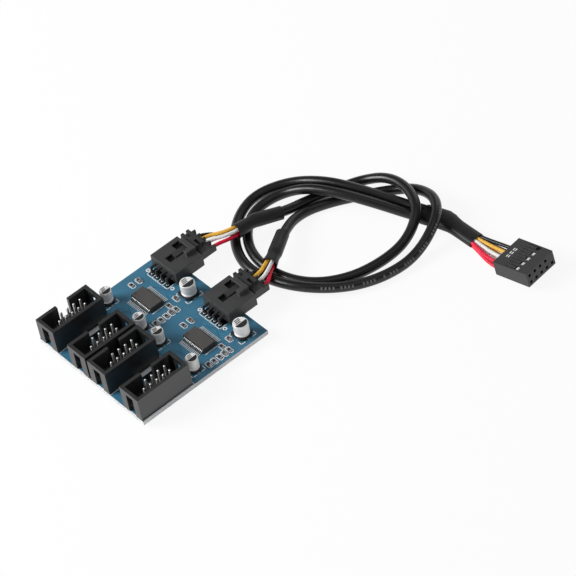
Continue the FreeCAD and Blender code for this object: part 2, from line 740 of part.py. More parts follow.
def build_joint_sleeve():
    """Shapes the sleeve that joins both cables, from two jackets wide down to the eight wires."""
    middle, entry, narrow = sleeve_bend()
    thick = ((size.cable_spacing, 0), size.cable_diameter)
    thin = ((3 * size.wire_spacing, size.wire_spacing), size.wire_diameter)
    bisector = (entry + narrow).normalize()
    stations = [(middle - entry * size.sleeve_entry, entry, thick), (middle, bisector, thick),
                (middle + narrow * size.sleeve_neck, narrow, thin),
                (middle + narrow * size.sleeve_length, narrow, thin)]
    skins = []
    for margin in (size.sleeve_clearance + size.sleeve_wall, size.sleeve_clearance):
        sections = [sleeve_section(spot, way, *fill, margin) for spot, way, fill in stations]
        skins.append(faceted_skin(sections))
    outer, inner = skins
    node("joint_sleeve", coded("joint_sleeve_tube", outer.cut(inner)))


def host_placement():
    """Returns the host plug's place: its rear lower edge on the ground, its face lifted and turned."""
    middle, entry, narrow = sleeve_bend()
    spot = middle + narrow * size.host_distance + Vector(0, size.host_shift, -middle.z)
    return Placement(spot, Rotation(UP, size.host_yaw) * Rotation(Vector(0, 1, 0), -size.host_pitch_up))


HOST_WIRE_COLUMNS = {"red": -2, "white": -1, "yellow": 0, "black": 1}
HOST_ROWS = {"a": 1, "b": -1}
host_rows = 2


def host_cell(column, row):
    """Returns the middle of one of the host plug's cells across its width and up its height."""
    height = host_rows * size.pin_pitch + size.host_margin
    return column * size.pin_pitch, height / 2 + row * size.pin_pitch / 2


def host_cells():
    """Lists the cells of both rows as column and row."""
    reach = int(size.host_columns) // 2
    return [(column, row) for row in (-1, 1) for column in range(-reach, reach + 1)]


def is_key(column, row):
    """Tells the blanked cell, at the far end of the upper row."""
    return row == 1 and column == int(size.host_columns) // 2


def build_host_plug():
    """Moulds the two-row socket plug with its latch tongues, pin holes and contacts."""
    width = "(host_columns * pin_pitch + host_margin)"
    height = f"({host_rows} * pin_pitch + host_margin)"
    shell = block("host_shell", ("host_length", width, height), ("0", f"-{width} / 2", "0"))
    half = size.host_channel / 2
    depth = size.host_length - size.host_face
    tools = []
    contacts = []
    for column, row in host_cells():
        y, z = host_cell(column, row)
        tools.append(Part.makeBox(depth, size.host_channel, size.host_channel, Vector(0, y - half, z - half)))
        if not is_key(column, row):
            hole = size.host_hole / 2
            tools.append(Part.makeBox(size.host_face, size.host_hole, size.host_hole,
                                      Vector(depth, y - hole, z - hole)))
            core = size.host_contact / 2
            bore = size.contact_bore / 2
            start = depth - size.host_contact_length
            tube = Part.makeBox(size.host_contact_length, size.host_contact, size.host_contact,
                                Vector(start, y - core, z - core))
            core_hole = Part.makeBox(size.host_contact_length, size.contact_bore, size.contact_bore,
                                     Vector(start, y - bore, z - bore))
            contacts.append(tube.cut(core_hole))
        tall = size.pin_pitch + size.host_margin
        low = z if row > 0 else z - tall
        window_x = size.host_length - size.host_window_start - size.host_window_length
        tools.append(Part.makeBox(size.host_window_length, size.host_tongue_width + 2 * size.host_slit, tall,
                                  Vector(window_x, y - size.host_tongue_width / 2 - size.host_slit, low)))
        for way in (-1, 1):
            middle_y = y + way * (size.host_tongue_width + size.host_slit) / 2
            slit_start = Vector(window_x - size.host_tongue_length, middle_y - size.host_slit / 2, low)
            tools.append(Part.makeBox(size.host_tongue_length, size.host_slit, tall, slit_start))
    plug = cut("host_body", shell, [coded("host_cuts", tools[0].multiFuse(tools[1:]))])
    plug.Placement = host_placement()
    node("host_plug", plug)
    node("host_plug_contacts", coded("host_contacts", Part.makeCompound(contacts), host_placement()))


def input_wire(channel, pin):
    """Returns the route of one wire from its contact in an input plug to the cable jacket's end."""
    side = SIDES[channel]
    mouth, inward, jacket_end, _ = shrink_axis(side)
    across = inward.cross(UP).normalize()
    upward = across.cross(inward)
    way = 1 if pin >= input_pins / 2 else -1
    rise = -1 if abs(pin - (input_pins - 1) / 2) > 1 else 1
    offset = (across * way + upward * rise) * (size.bundle_spacing / 2)
    x = input_pin_xs(channel)[pin]
    contact_end = input_back_y + size.input_back + size.plug_inset + size.contact_length
    exit_y = mating_end + size.plug_reach
    level = input_pin_z + rise * size.wire_fan
    return [Vector(x, contact_end, level), Vector(x, exit_y + size.wire_lead, level),
            mouth - inward * size.bundle_lead + offset, jacket_end - inward * size.wire_end_gap + offset]


def host_wire(side, colour):
    """Returns the route of one wire from the jackets' ends in the sleeve to its contact in the host plug."""
    middle, entry, narrow = sleeve_bend()
    column = HOST_WIRE_COLUMNS[colour]
    order = sorted(HOST_WIRE_COLUMNS.values()).index(column)
    across = Vector(0, (order - 1.5) * size.wire_spacing, HOST_ROWS[side] * size.wire_spacing / 2)
    slant = entry.y / entry.x
    start = middle + across + narrow * (size.wire_diameter * slant - across.y * slant)
    leave = middle + across + narrow * (size.sleeve_length + size.wire_diameter)
    y, z = host_cell(column, HOST_ROWS[side])
    seat = host_placement()
    lead = size.wire_diameter * 2
    contact_back = size.host_length - size.host_face - size.host_contact_length
    return [start, leave, seat.multVec(Vector(-lead, y, z)), seat.multVec(Vector(contact_back, y, z))]


def build_wires():
    """Runs each coloured wire at both of its bare ends: input plug to cable, cable to host plug."""
    for channel, side in enumerate(SIDES):
        for pin, colour in enumerate(COLOURS):
            ends = [faceted_tube(input_wire(channel, pin), size.wire_diameter, WIRE_SIDES)[0],
                    faceted_tube(host_wire(side, colour), size.wire_diameter, WIRE_SIDES)[0]]
            node(f"wire_{side}_{colour}", coded(f"wire_{side}_{colour}_ends", Part.makeCompound(ends)))


build_board()
for header in range(2 * channels):
    build_box_header(header)
for channel_index in range(channels):
    build_input_header(channel_index)
    build_input_plug(channel_index)
    build_hub_chip(channel_index)
build_cans()
build_chip_parts()
for cable_side in SIDES:
    build_cable(cable_side)
    build_heat_shrink(cable_side)
build_joint_sleeve()
build_host_plug()
build_wires()
doc.recompute()

failed = [thing.Label for thing in doc.Objects if {"Invalid", "Error"} & set(thing.State)]
failed += [name for name, thing in nodes.items() if thing.Shape.isNull() or not thing.Shape.isValid()]
if failed:
    raise RuntimeError(f"sub-parts failed: {failed}")
os.makedirs("parts", exist_ok=True)
for name, thing in nodes.items():
    thing.Shape.exportStep(f"parts/{name}.step")
print(f"{len(nodes)} sub-parts written")
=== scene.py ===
"""Dressed scene of a header splitter: a hub board with box headers, two looped cables and one socket plug.

Lengths are written in millimetres in the row frame and become metres where a mesh, curve or light is made.
"""

import logging
import math
from dataclasses import dataclass, field
from enum import Enum
from typing import ClassVar

import bpy
from mathutils import Matrix, Vector


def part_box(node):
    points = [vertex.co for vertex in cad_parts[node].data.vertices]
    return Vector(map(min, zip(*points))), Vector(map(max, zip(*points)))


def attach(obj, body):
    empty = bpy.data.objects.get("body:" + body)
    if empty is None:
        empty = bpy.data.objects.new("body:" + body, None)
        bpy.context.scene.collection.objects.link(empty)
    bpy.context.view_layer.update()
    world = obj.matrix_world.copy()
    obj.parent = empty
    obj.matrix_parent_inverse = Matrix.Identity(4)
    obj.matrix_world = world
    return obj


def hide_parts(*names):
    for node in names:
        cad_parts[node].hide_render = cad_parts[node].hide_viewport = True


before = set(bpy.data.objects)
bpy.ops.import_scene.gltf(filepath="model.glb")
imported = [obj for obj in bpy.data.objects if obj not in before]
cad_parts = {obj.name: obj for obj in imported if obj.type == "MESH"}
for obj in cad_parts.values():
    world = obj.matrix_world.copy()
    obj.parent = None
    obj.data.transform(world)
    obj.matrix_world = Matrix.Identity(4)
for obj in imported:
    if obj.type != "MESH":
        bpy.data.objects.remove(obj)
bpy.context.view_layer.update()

MM = 0.001
BODY = "root"
UP = Vector((0, 0, 1))
ALONG_X = Vector((1, 0, 0))
CHANNELS = ("a", "b")
HEADERS = range(1, 5)
CANS = range(1, 7)
NOISE_MEAN = 0.5
WELD_GAP = 0.001
FLAT_ANGLE = 1.0
EDGE_ANGLE = 40.0
EDGE_SEGMENTS = 2
TUBE_ANGLE = 60.0
CORD_ROUNDNESS = 6
CORD_STEPS = 10
CORD_ORDER = 3
LOG = logging.getLogger("scene")

Colour = tuple[float, float, float]
Point = tuple[float, float, float]
Plan = tuple[float, float]
Pair = tuple[float, float]
Entry = "Value | bpy.types.NodeSocket | float | tuple"


class Value:
    """A number in a node tree, with arithmetic that adds Math nodes."""

    def __init__(self, tree: "NodeTree", socket: bpy.types.NodeSocket) -> None:
        """Wraps one output socket of a tree."""
        self.tree = tree
        self.socket = socket

    def join(self, operation: str, first: Entry, second: Entry) -> "Value":
        """Adds one Math node.

        Args:
            operation: The Math node's operation.
            first: The first number or link.
            second: The second number or link.

        Returns:
            The node's result.
        """
        made = self.tree.node("ShaderNodeMath", {"operation": operation}, {0: first, 1: second})
        return Value(self.tree, made.outputs[0])

    def __add__(self, other: Entry) -> "Value":
        """Adds a number."""
        return self.join("ADD", self, other)

    def __radd__(self, other: Entry) -> "Value":
        """Adds to a number."""
        return self.join("ADD", other, self)

    def __sub__(self, other: Entry) -> "Value":
        """Takes a number away."""
        return self.join("SUBTRACT", self, other)

    def __rsub__(self, other: Entry) -> "Value":
        """Is taken away from a number."""
        return self.join("SUBTRACT", other, self)

    def __mul__(self, other: Entry) -> "Value":
        """Multiplies by a number."""
        return self.join("MULTIPLY", self, other)

    def __rmul__(self, other: Entry) -> "Value":
        """Multiplies a number."""
        return self.join("MULTIPLY", other, self)

    def __gt__(self, other: Entry) -> "Value":
        """Is 1 above a number and 0 below it."""
        return self.join("GREATER_THAN", self, other)

    def __abs__(self) -> "Value":
        """Drops the sign."""
        return self.join("ABSOLUTE", self, 0.0)


class NodeTree:
    """An emptied node tree and the one way in which nodes are added to it."""

    def __init__(self, tree: bpy.types.NodeTree) -> None:
        """Empties the tree."""
        self.tree = tree
        self.tree.nodes.clear()

    def node(self, kind: str, settings: dict | None = None, inputs: dict | None = None) -> bpy.types.Node:
        """Adds a node of any kind.

        Args:
            kind: The node's type.
            settings: Its properties, set first.
            inputs: Values or links by socket name or number.

        Returns:
            The node.
        """
        made = self.tree.nodes.new(kind)
        for name, setting in (settings or {}).items():
            setattr(made, name, setting)
        for key, entry in (inputs or {}).items():
            self.feed(made.inputs[key], entry)
        return made

    def feed(self, socket: bpy.types.NodeSocket, entry: Entry) -> None:
        """Links a socket, or sets it to a constant.

        Args:
            socket: The input socket.
            entry: The value, link or constant that feeds it.
        """
        source = entry.socket if isinstance(entry, Value) else entry
        if isinstance(source, bpy.types.NodeSocket):
            self.tree.links.new(source, socket)
        elif socket.type == "RGBA":
            socket.default_value = (*source, 1.0)
        else:
            socket.default_value = source

    def mix(self, factor: Entry, first: Entry, second: Entry) -> bpy.types.NodeSocket:
        """Returns a colour between two colours."""
        inputs = {0: factor, 6: first, 7: second}
        return self.node("ShaderNodeMix", {"data_type": "RGBA"}, inputs).outputs[2]


class Paint(NodeTree):
    """The node tree of one material, with a Principled shader at its end."""

    def __init__(self, name: str) -> None:
        """Starts an empty tree with its shader and object coordinates.

        Args:
            name: The material's name.
        """
        self.material = bpy.data.materials.new(name)
        self.material.use_nodes = True
        super().__init__(self.material.node_tree)
        self.shader = self.node("ShaderNodeBsdfPrincipled")
        self.output = self.node("ShaderNodeOutputMaterial", inputs={"Surface": self.shader.outputs[0]})
        self.place = self.node("ShaderNodeTexCoord").outputs["Object"]

    def set(self, **sockets: Entry) -> None:
        """Feeds the shader's sockets, named with underscores for spaces."""
        for name, entry in sockets.items():
            self.feed(self.shader.inputs[name.replace("_", " ")], entry)

    def stretched(self, factors: Point) -> bpy.types.NodeSocket:
        """Returns the object coordinates multiplied along each axis."""
        inputs = {0: self.place, 1: factors}
        return self.node("ShaderNodeVectorMath", {"operation": "MULTIPLY"}, inputs).outputs[0]

    def noise(self, scale: float, detail: float = 2.0, place: bpy.types.NodeSocket | None = None) -> Value:
        """Adds a noise texture.

        Args:
            scale: Cells in a metre.
            detail: Octaves.
            place: Coordinates, or the object's own.

        Returns:
            The noise, about 0.5 on average.
        """
        inputs = {"Vector": place or self.place, "Scale": scale, "Detail": detail}
        return Value(self, self.node("ShaderNodeTexNoise", inputs=inputs).outputs[0])

    def bump(self, height: Entry, depth: float, strength: float = 1.0) -> None:
        """Raises the surface by a height pattern of a depth in millimetres."""
        inputs = {"Height": height, "Distance": depth * MM, "Strength": strength}
        self.set(Normal=self.node("ShaderNodeBump", inputs=inputs).outputs[0])

    def facing_up(self) -> Value:
        """Returns how far the surface lies flat, 1 on a level face and 0 on an upright one."""
        normal = self.node("ShaderNodeNewGeometry").outputs["True Normal"]
        return abs(Value(self, self.node("ShaderNodeSeparateXYZ", inputs={0: normal}).outputs["Z"]))


def scaled(colour: Colour, factor: float) -> Colour:
    """Returns a colour made lighter or darker."""
    return tuple(min(1.0, channel * factor) for channel in colour)


def tinted(colour: Colour, factors: Pair) -> list[Colour]:
    """Returns two shades of a colour."""
    return [scaled(colour, factor) for factor in factors]


@dataclass(frozen=True)
class Finish:
    """What every finish has: a name, the record's slot, a colour, a roughness and a share of reflection."""

    name: str
    slot: str
    colour: Colour
    roughness: float
    specular: float = field(default=0.5, kw_only=True)

    def dress(self, paint: Paint) -> None:
        """Fills a paint's tree with this finish."""
        raise NotImplementedError

    def material(self) -> bpy.types.Material:
        """Makes the finish's material on its first use.

        Returns:
            The material.
        """
        name = f"finish_{self.name}"
        found = bpy.data.materials.get(name)
        if found is None:
            paint = Paint(name)
            self.dress(paint)
            paint.set(Specular_IOR_Level=self.specular)
            found = paint.material
        return found


@dataclass(frozen=True)
class MouldedPlastic(Finish):
    """Moulded plastic with a spark-eroded grain and faint flow marks, and with darker sides where asked."""

    grain: float = 5200.0
    grain_depth: float = 0.02
    mottling: float = 0.5
    side_shade: float = field(default=1.0, kw_only=True)
    flow_scale: ClassVar[float] = 260.0
    flow_tint: ClassVar[float] = 1.9
    flow_gloss: ClassVar[float] = 0.18
    grain_gloss: ClassVar[float] = 0.1
    grain_strength: ClassVar[float] = 0.55
    level_above: ClassVar[float] = 0.8

    def dress(self, paint: Paint) -> None:
        """Mottles the colour and the gloss and raises the grain.

        Args:
            paint: The material's tree.
        """
        flow = paint.noise(self.flow_scale, detail=4.0)
        grain = paint.noise(self.grain, detail=3.0)
        body = paint.mix(flow * self.mottling, self.colour, scaled(self.colour, self.flow_tint))
        if self.side_shade != 1.0:
            side = paint.mix(flow * self.mottling, scaled(self.colour, self.side_shade), self.colour)
            body = paint.mix(paint.facing_up() > self.level_above, side, body)
        gloss = (flow - NOISE_MEAN) * self.flow_gloss + (grain - NOISE_MEAN) * self.grain_gloss
        paint.set(Base_Color=body, Roughness=self.roughness + gloss)
        paint.bump(grain, self.grain_depth, self.grain_strength)


@dataclass(frozen=True)
class SolderMask(Finish):
    """Blue solder mask on both faces of a glass-fibre board whose sawn edges show."""

    edge: Colour = (0.65, 0.64, 0.65)
    edge_roughness: float = 0.7
    coat: float = 0.08
    coat_roughness: float = 0.3
    cloud_scale: ClassVar[float] = 120.0
    cloud_tints: ClassVar[Pair] = (0.78, 1.22)
    weave_scale: ClassVar[float] = 900.0
    weave_stretch: ClassVar[Point] = (1.0, 6.0, 1.0)
    weave_gloss: ClassVar[float] = 0.08
    weave_depth: ClassVar[float] = 0.006
    weave_strength: ClassVar[float] = 0.4
    layer_scale: ClassVar[float] = 2600.0
    layer_stretch: ClassVar[Point] = (0.1, 0.1, 1.0)
    layer_tints: ClassVar[Pair] = (0.7, 1.2)
    level_above: ClassVar[float] = 0.5

    def dress(self, paint: Paint) -> None:
        """Keeps the mask on level faces and the bare glass fibre on the edges.

        Args:
            paint: The material's tree.
        """
        face = paint.facing_up() > self.level_above
        cloud = paint.noise(self.cloud_scale, detail=3.0)
        weave = paint.noise(self.weave_scale, detail=2.0, place=paint.stretched(self.weave_stretch))
        layers = paint.noise(self.layer_scale, detail=1.0, place=paint.stretched(self.layer_stretch))
        mask = paint.mix(cloud, *tinted(self.colour, self.cloud_tints))
        sawn = paint.mix(layers, *tinted(self.edge, self.layer_tints))
        dullness = self.edge_roughness - face * (self.edge_roughness - self.roughness)
        paint.set(Base_Color=paint.mix(face, sawn, mask))
        paint.set(Roughness=dullness + (weave - NOISE_MEAN) * self.weave_gloss)
        paint.set(Coat_Weight=face * self.coat, Coat_Roughness=self.coat_roughness)
        paint.bump(weave, self.weave_depth, self.weave_strength)


@dataclass(frozen=True)
class PrintInk(Finish):
    """Thin screen-printed ink that covers a little unevenly."""

    speck_scale: ClassVar[float] = 3800.0
    speck_tints: ClassVar[Pair] = (0.8, 1.0)
    speck_gloss: ClassVar[float] = 0.2
    speck_depth: ClassVar[float] = 0.006
    speck_strength: ClassVar[float] = 0.5

    def dress(self, paint: Paint) -> None:
        """Thins the ink in fine specks.

        Args:
            paint: The material's tree.
        """
        specks = paint.noise(self.speck_scale, detail=3.0)
        paint.set(Base_Color=paint.mix(specks, *tinted(self.colour, self.speck_tints)))
        paint.set(Roughness=self.roughness + (specks - NOISE_MEAN) * self.speck_gloss)
        paint.bump(specks, self.speck_depth, self.speck_strength)


@dataclass(frozen=True)
class PlatedMetal(Finish):
    """Tinned or bright metal with a cloudy satin surface under a thin dull film."""

    drawn: Point = (1.0, 1.0, 1.0)
    grain: float = 2400.0
    metal: float = field(default=0.9, kw_only=True)
    cloud_scale: ClassVar[float] = 420.0
    cloud_tints: ClassVar[Pair] = (0.8, 1.0)
    cloud_metal: ClassVar[float] = 0.2
    cloud_gloss: ClassVar[float] = 0.12
    streak_gloss: ClassVar[float] = 0.22
    streak_depth: ClassVar[float] = 0.008
    streak_strength: ClassVar[float] = 0.35

    def dress(self, paint: Paint) -> None:
        """Clouds the gloss along the direction in which the metal was drawn.

        Args:
            paint: The material's tree.
        """
        streaks = paint.noise(self.grain, detail=3.0, place=paint.stretched(self.drawn))
        cloud = paint.noise(self.cloud_scale, detail=2.0)
        gloss = (streaks - NOISE_MEAN) * self.streak_gloss + (cloud - NOISE_MEAN) * self.cloud_gloss
        paint.set(Base_Color=paint.mix(cloud, *tinted(self.colour, self.cloud_tints)))
        paint.set(Metallic=self.metal + (cloud - NOISE_MEAN) * self.cloud_metal)
        paint.set(Roughness=self.roughness + gloss)
        paint.bump(streaks, self.streak_depth, self.streak_strength)


@dataclass(frozen=True)
class PaintedLightLead(Finish):
    """A bent lead with painted light: a painted highlight on its level foot and on its shoulder, and painted
    shade on the shank between them.
    """

    # The painted shade colour of the lead's sloping and upright faces.
    dull: Colour = (0.06, 0.06, 0.06)
    shoulder: float = 3.8
    highlight_above: ClassVar[float] = 0.88
    shade_metal: ClassVar[float] = 0.9
    highlight_metal: ClassVar[float] = 0.15
    cloud_scale: ClassVar[float] = 1400.0
    cloud_tints: ClassVar[Pair] = (0.8, 1.0)
    cloud_gloss: ClassVar[float] = 0.2
    cloud_depth: ClassVar[float] = 0.01
    cloud_strength: ClassVar[float] = 0.4

    def dress(self, paint: Paint) -> None:
        """Paints a highlight on the foot and the shoulder, paints shade on the rest, and clouds the gloss.

        Args:
            paint: The material's tree.
        """
        height = Value(paint, paint.node("ShaderNodeSeparateXYZ", inputs={0: paint.place}).outputs["Z"])
        # Level faces and the part above the shoulder take the painted highlight, the rest the painted shade.
        level = (paint.facing_up() > self.highlight_above) + (height > self.shoulder * MM)
        cloud = paint.noise(self.cloud_scale, detail=2.0)
        bright = paint.mix(cloud, *tinted(self.colour, self.cloud_tints))
        paint.set(Base_Color=paint.mix(level, self.dull, bright))
        paint.set(Metallic=self.shade_metal - level * (self.shade_metal - self.highlight_metal))
        paint.set(Roughness=self.roughness + (cloud - NOISE_MEAN) * self.cloud_gloss)
        paint.bump(cloud, self.cloud_depth, self.cloud_strength)


@dataclass(frozen=True)
class Extrusion(Finish):
    """Extruded cable plastic: glossy, with a slow ripple and a fine skin."""

    ripple: float = 230.0
    ripple_depth: float = 0.05
    ripple_tints: ClassVar[Pair] = (0.85, 1.12)
    ripple_gloss: ClassVar[float] = 0.14
    ripple_strength: ClassVar[float] = 0.7
    skin_scale: ClassVar[float] = 5200.0
    skin_gloss: ClassVar[float] = 0.1
    skin_share: ClassVar[float] = 0.06

    def dress(self, paint: Paint) -> None:
        """Ripples the surface and varies the gloss.

        Args:
            paint: The material's tree.
        """
        slow = paint.noise(self.ripple, detail=2.0)
        skin = paint.noise(self.skin_scale, detail=2.0)
        gloss = (slow - NOISE_MEAN) * self.ripple_gloss + (skin - NOISE_MEAN) * self.skin_gloss
        paint.set(Base_Color=paint.mix(slow, *tinted(self.colour, self.ripple_tints)))
        paint.set(Roughness=self.roughness + gloss)
        paint.bump(slow + skin * self.skin_share, self.ripple_depth, self.ripple_strength)


@dataclass(frozen=True)
class ShrunkTube(Finish):
    """Heat-shrunk tube: satin, with soft wrinkles and a dusty bloom."""

    wrinkle_scale: ClassVar[float] = 330.0
    wrinkle_tints: ClassVar[Pair] = (1.0, 2.1)
    wrinkle_gloss: ClassVar[float] = 0.25
    wrinkle_depth: ClassVar[float] = 0.16
    wrinkle_strength: ClassVar[float] = 0.6
    skin_scale: ClassVar[float] = 4200.0
    skin_share: ClassVar[float] = 0.05

    def dress(self, paint: Paint) -> None:
        """Wrinkles the tube and dusts its high places.

        Args:
            paint: The material's tree.
        """
        wrinkle = paint.noise(self.wrinkle_scale, detail=4.0)
        skin = paint.noise(self.skin_scale, detail=2.0)
        paint.set(Base_Color=paint.mix(wrinkle, *tinted(self.colour, self.wrinkle_tints)))
        paint.set(Roughness=self.roughness + (wrinkle - NOISE_MEAN) * self.wrinkle_gloss)
        paint.bump(wrinkle + skin * self.skin_share, self.wrinkle_depth, self.wrinkle_strength)


class Finishes(Enum):
    """Every finish on the part."""

    BOARD = SolderMask("solder_mask", "board", (0.036, 0.156, 0.252), 0.48)
    TRACE = MouldedPlastic("masked_copper", "board", (0.050, 0.205, 0.325), 0.46, 3000.0, 0.006, 0.3)
    INK = PrintInk("white_ink", "board", (0.92, 0.92, 0.92), 0.55)
    HEADER = MouldedPlastic("header_plastic", "header_plastic", (0.008, 0.008, 0.008), 0.4, specular=0.85)
    INPUT = MouldedPlastic("input_plastic", "header_plastic", (0.032, 0.032, 0.0323), 0.5)
    # Near-black sheets that stand in for shade, in the header gaps, under the latch openings and under the
    # bent pins.
    PIN_BASE = MouldedPlastic("pin_base_plastic", "header_plastic", (0.003, 0.003, 0.0031), 0.55,
                              specular=0.2)
    PLUG = MouldedPlastic("plug_plastic", "plug_plastic", (0.022, 0.022, 0.0223), 0.46)
    CHIP = MouldedPlastic("chip_plastic", "chip_plastic", (0.058, 0.054, 0.051), 0.5, 7600.0, 0.012,
                          side_shade=0.2)
    DIMPLE = MouldedPlastic("chip_dimple", "chip_plastic", (0.040, 0.037, 0.036), 0.36, 7600.0, 0.006)
    TIN = PlatedMetal("tin", "tin", (0.58, 0.57, 0.56), 0.34, metal=0.6)
    # A bright copy of the contact tin: a painted glint on the tangs in the host plug's windows.
    TERMINAL = PlatedMetal("terminal", "tin", (0.88, 0.87, 0.85), 0.34, metal=0.3)
    PART_TIN = PlatedMetal("part_tin", "tin", (0.45, 0.44, 0.43), 0.36, metal=0.4)
    SOLDER = PlatedMetal("solder", "tin", (0.86, 0.86, 0.85), 0.34, (1.0, 1.0, 1.0), 1500.0, metal=0.3)
    # Chip leads with a painted highlight on the feet and shoulders and painted shade on the shanks.
    LEAD = PaintedLightLead("chip_lead", "tin", (0.93, 0.92, 0.90), 0.34)
    # Tin painted near black as shade, on the input pins and the host plug's contacts.
    DARK_LEAD = PlatedMetal("dark_lead", "tin", (0.10, 0.10, 0.104), 0.42)
    ALUMINIUM = PlatedMetal("can_aluminium", "can_aluminium", (0.90, 0.89, 0.88), 0.45, (6.0, 6.0, 0.4),
                            metal=0.15)
    CAN_TOP = PrintInk("can_top_coat", "can_aluminium", (0.88, 0.88, 0.87), 0.4)
    CAN_MARK = PrintInk("can_mark", "can_base", (0.014, 0.014, 0.015), 0.45)
    CAN_BASE = MouldedPlastic("can_base", "can_base", (0.008, 0.008, 0.008), 0.45)
    RESISTOR = MouldedPlastic("resistor_glaze", "resistor", (0.012, 0.011, 0.012), 0.34, 4200.0, 0.01)
    CERAMIC = MouldedPlastic("ceramic", "ceramic", (0.055, 0.034, 0.024), 0.45, 6200.0, 0.015)
    BLACK_WIRE = Extrusion("wire_black", "wire_black", (0.005, 0.005, 0.006), 0.34, specular=0.35)
    YELLOW_WIRE = Extrusion("wire_yellow", "wire_yellow", (0.86, 0.47, 0.055), 0.38, specular=0.3)
    WHITE_WIRE = Extrusion("wire_white", "wire_white", (0.82, 0.82, 0.81), 0.38, specular=0.3)
    RED_WIRE = Extrusion("wire_red", "wire_red", (0.78, 0.008, 0.050), 0.38, specular=0.3)
    JACKET = Extrusion("cable_jacket", "jacket", (0.0042, 0.0042, 0.0045), 0.3, 170.0, 0.12, specular=0.5)
    JACKET_PRINT = PrintInk("jacket_print", "jacket", (0.13, 0.13, 0.13), 0.5)
    SHRINK = ShrunkTube("heat_shrink", "shrink", (0.0042, 0.0042, 0.0045), 0.48, specular=0.4)


WIRE_FINISHES = {"black": Finishes.BLACK_WIRE, "yellow": Finishes.YELLOW_WIRE,
                 "white": Finishes.WHITE_WIRE, "red": Finishes.RED_WIRE}


@dataclass
class Box:
    """The lowest and highest corners of a solid, in millimetres."""

    low: Vector
    high: Vector

    @property
    def middle(self) -> Vector:
        """The box's centre."""
        return (self.low + self.high) / 2

    @property
    def spans(self) -> Vector:
        """The box's lengths."""
        return self.high - self.low


def node_box(node: str) -> Box:
    """Returns the box of a CAD node in millimetres."""
    low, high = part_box(node)
    return Box(low / MM, high / MM)


def solid_boxes(node: str) -> list[Box]:
    """Finds the boxes of the separate solids in a CAD node.

    Args:
        node: The node's name.

    Returns:
        One box for each solid, in the order of its first face.
    """
    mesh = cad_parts[node].data
    keys = [tuple(round(value / MM, 3) for value in vertex.co) for vertex in mesh.vertices]
    parent = {key: key for key in keys}

    def root(key: Point) -> Point:
        """Follows a point to the first point of its solid.

        Args:
            key: The point.

        Returns:
            The solid's first point.
        """
        while parent[key] != key:
            parent[key] = parent[parent[key]]
            key = parent[key]
        return key

    for polygon in mesh.polygons:
        first = root(keys[polygon.vertices[0]])
        for index in polygon.vertices[1:]:
            parent[root(keys[index])] = first
    groups: dict[Point, list[Point]] = {}
    for key in parent:
        groups.setdefault(root(key), []).append(key)
    boxes = []
    for points in groups.values():
        boxes.append(Box(Vector(map(min, zip(*points))), Vector(map(max, zip(*points)))))
    return boxes


def row_boxes(node: str) -> list[Box]:
    """Returns the boxes of a node's solids in their order along X."""
    return sorted(solid_boxes(node), key=lambda box: box.low.x)


def circle(radius: float, sides: int) -> list[Plan]:
    """Returns points at equal steps round a circle."""
    turns = [2 * math.pi * side / sides for side in range(sides)]
    return [(radius * math.cos(turn), radius * math.sin(turn)) for turn in turns]


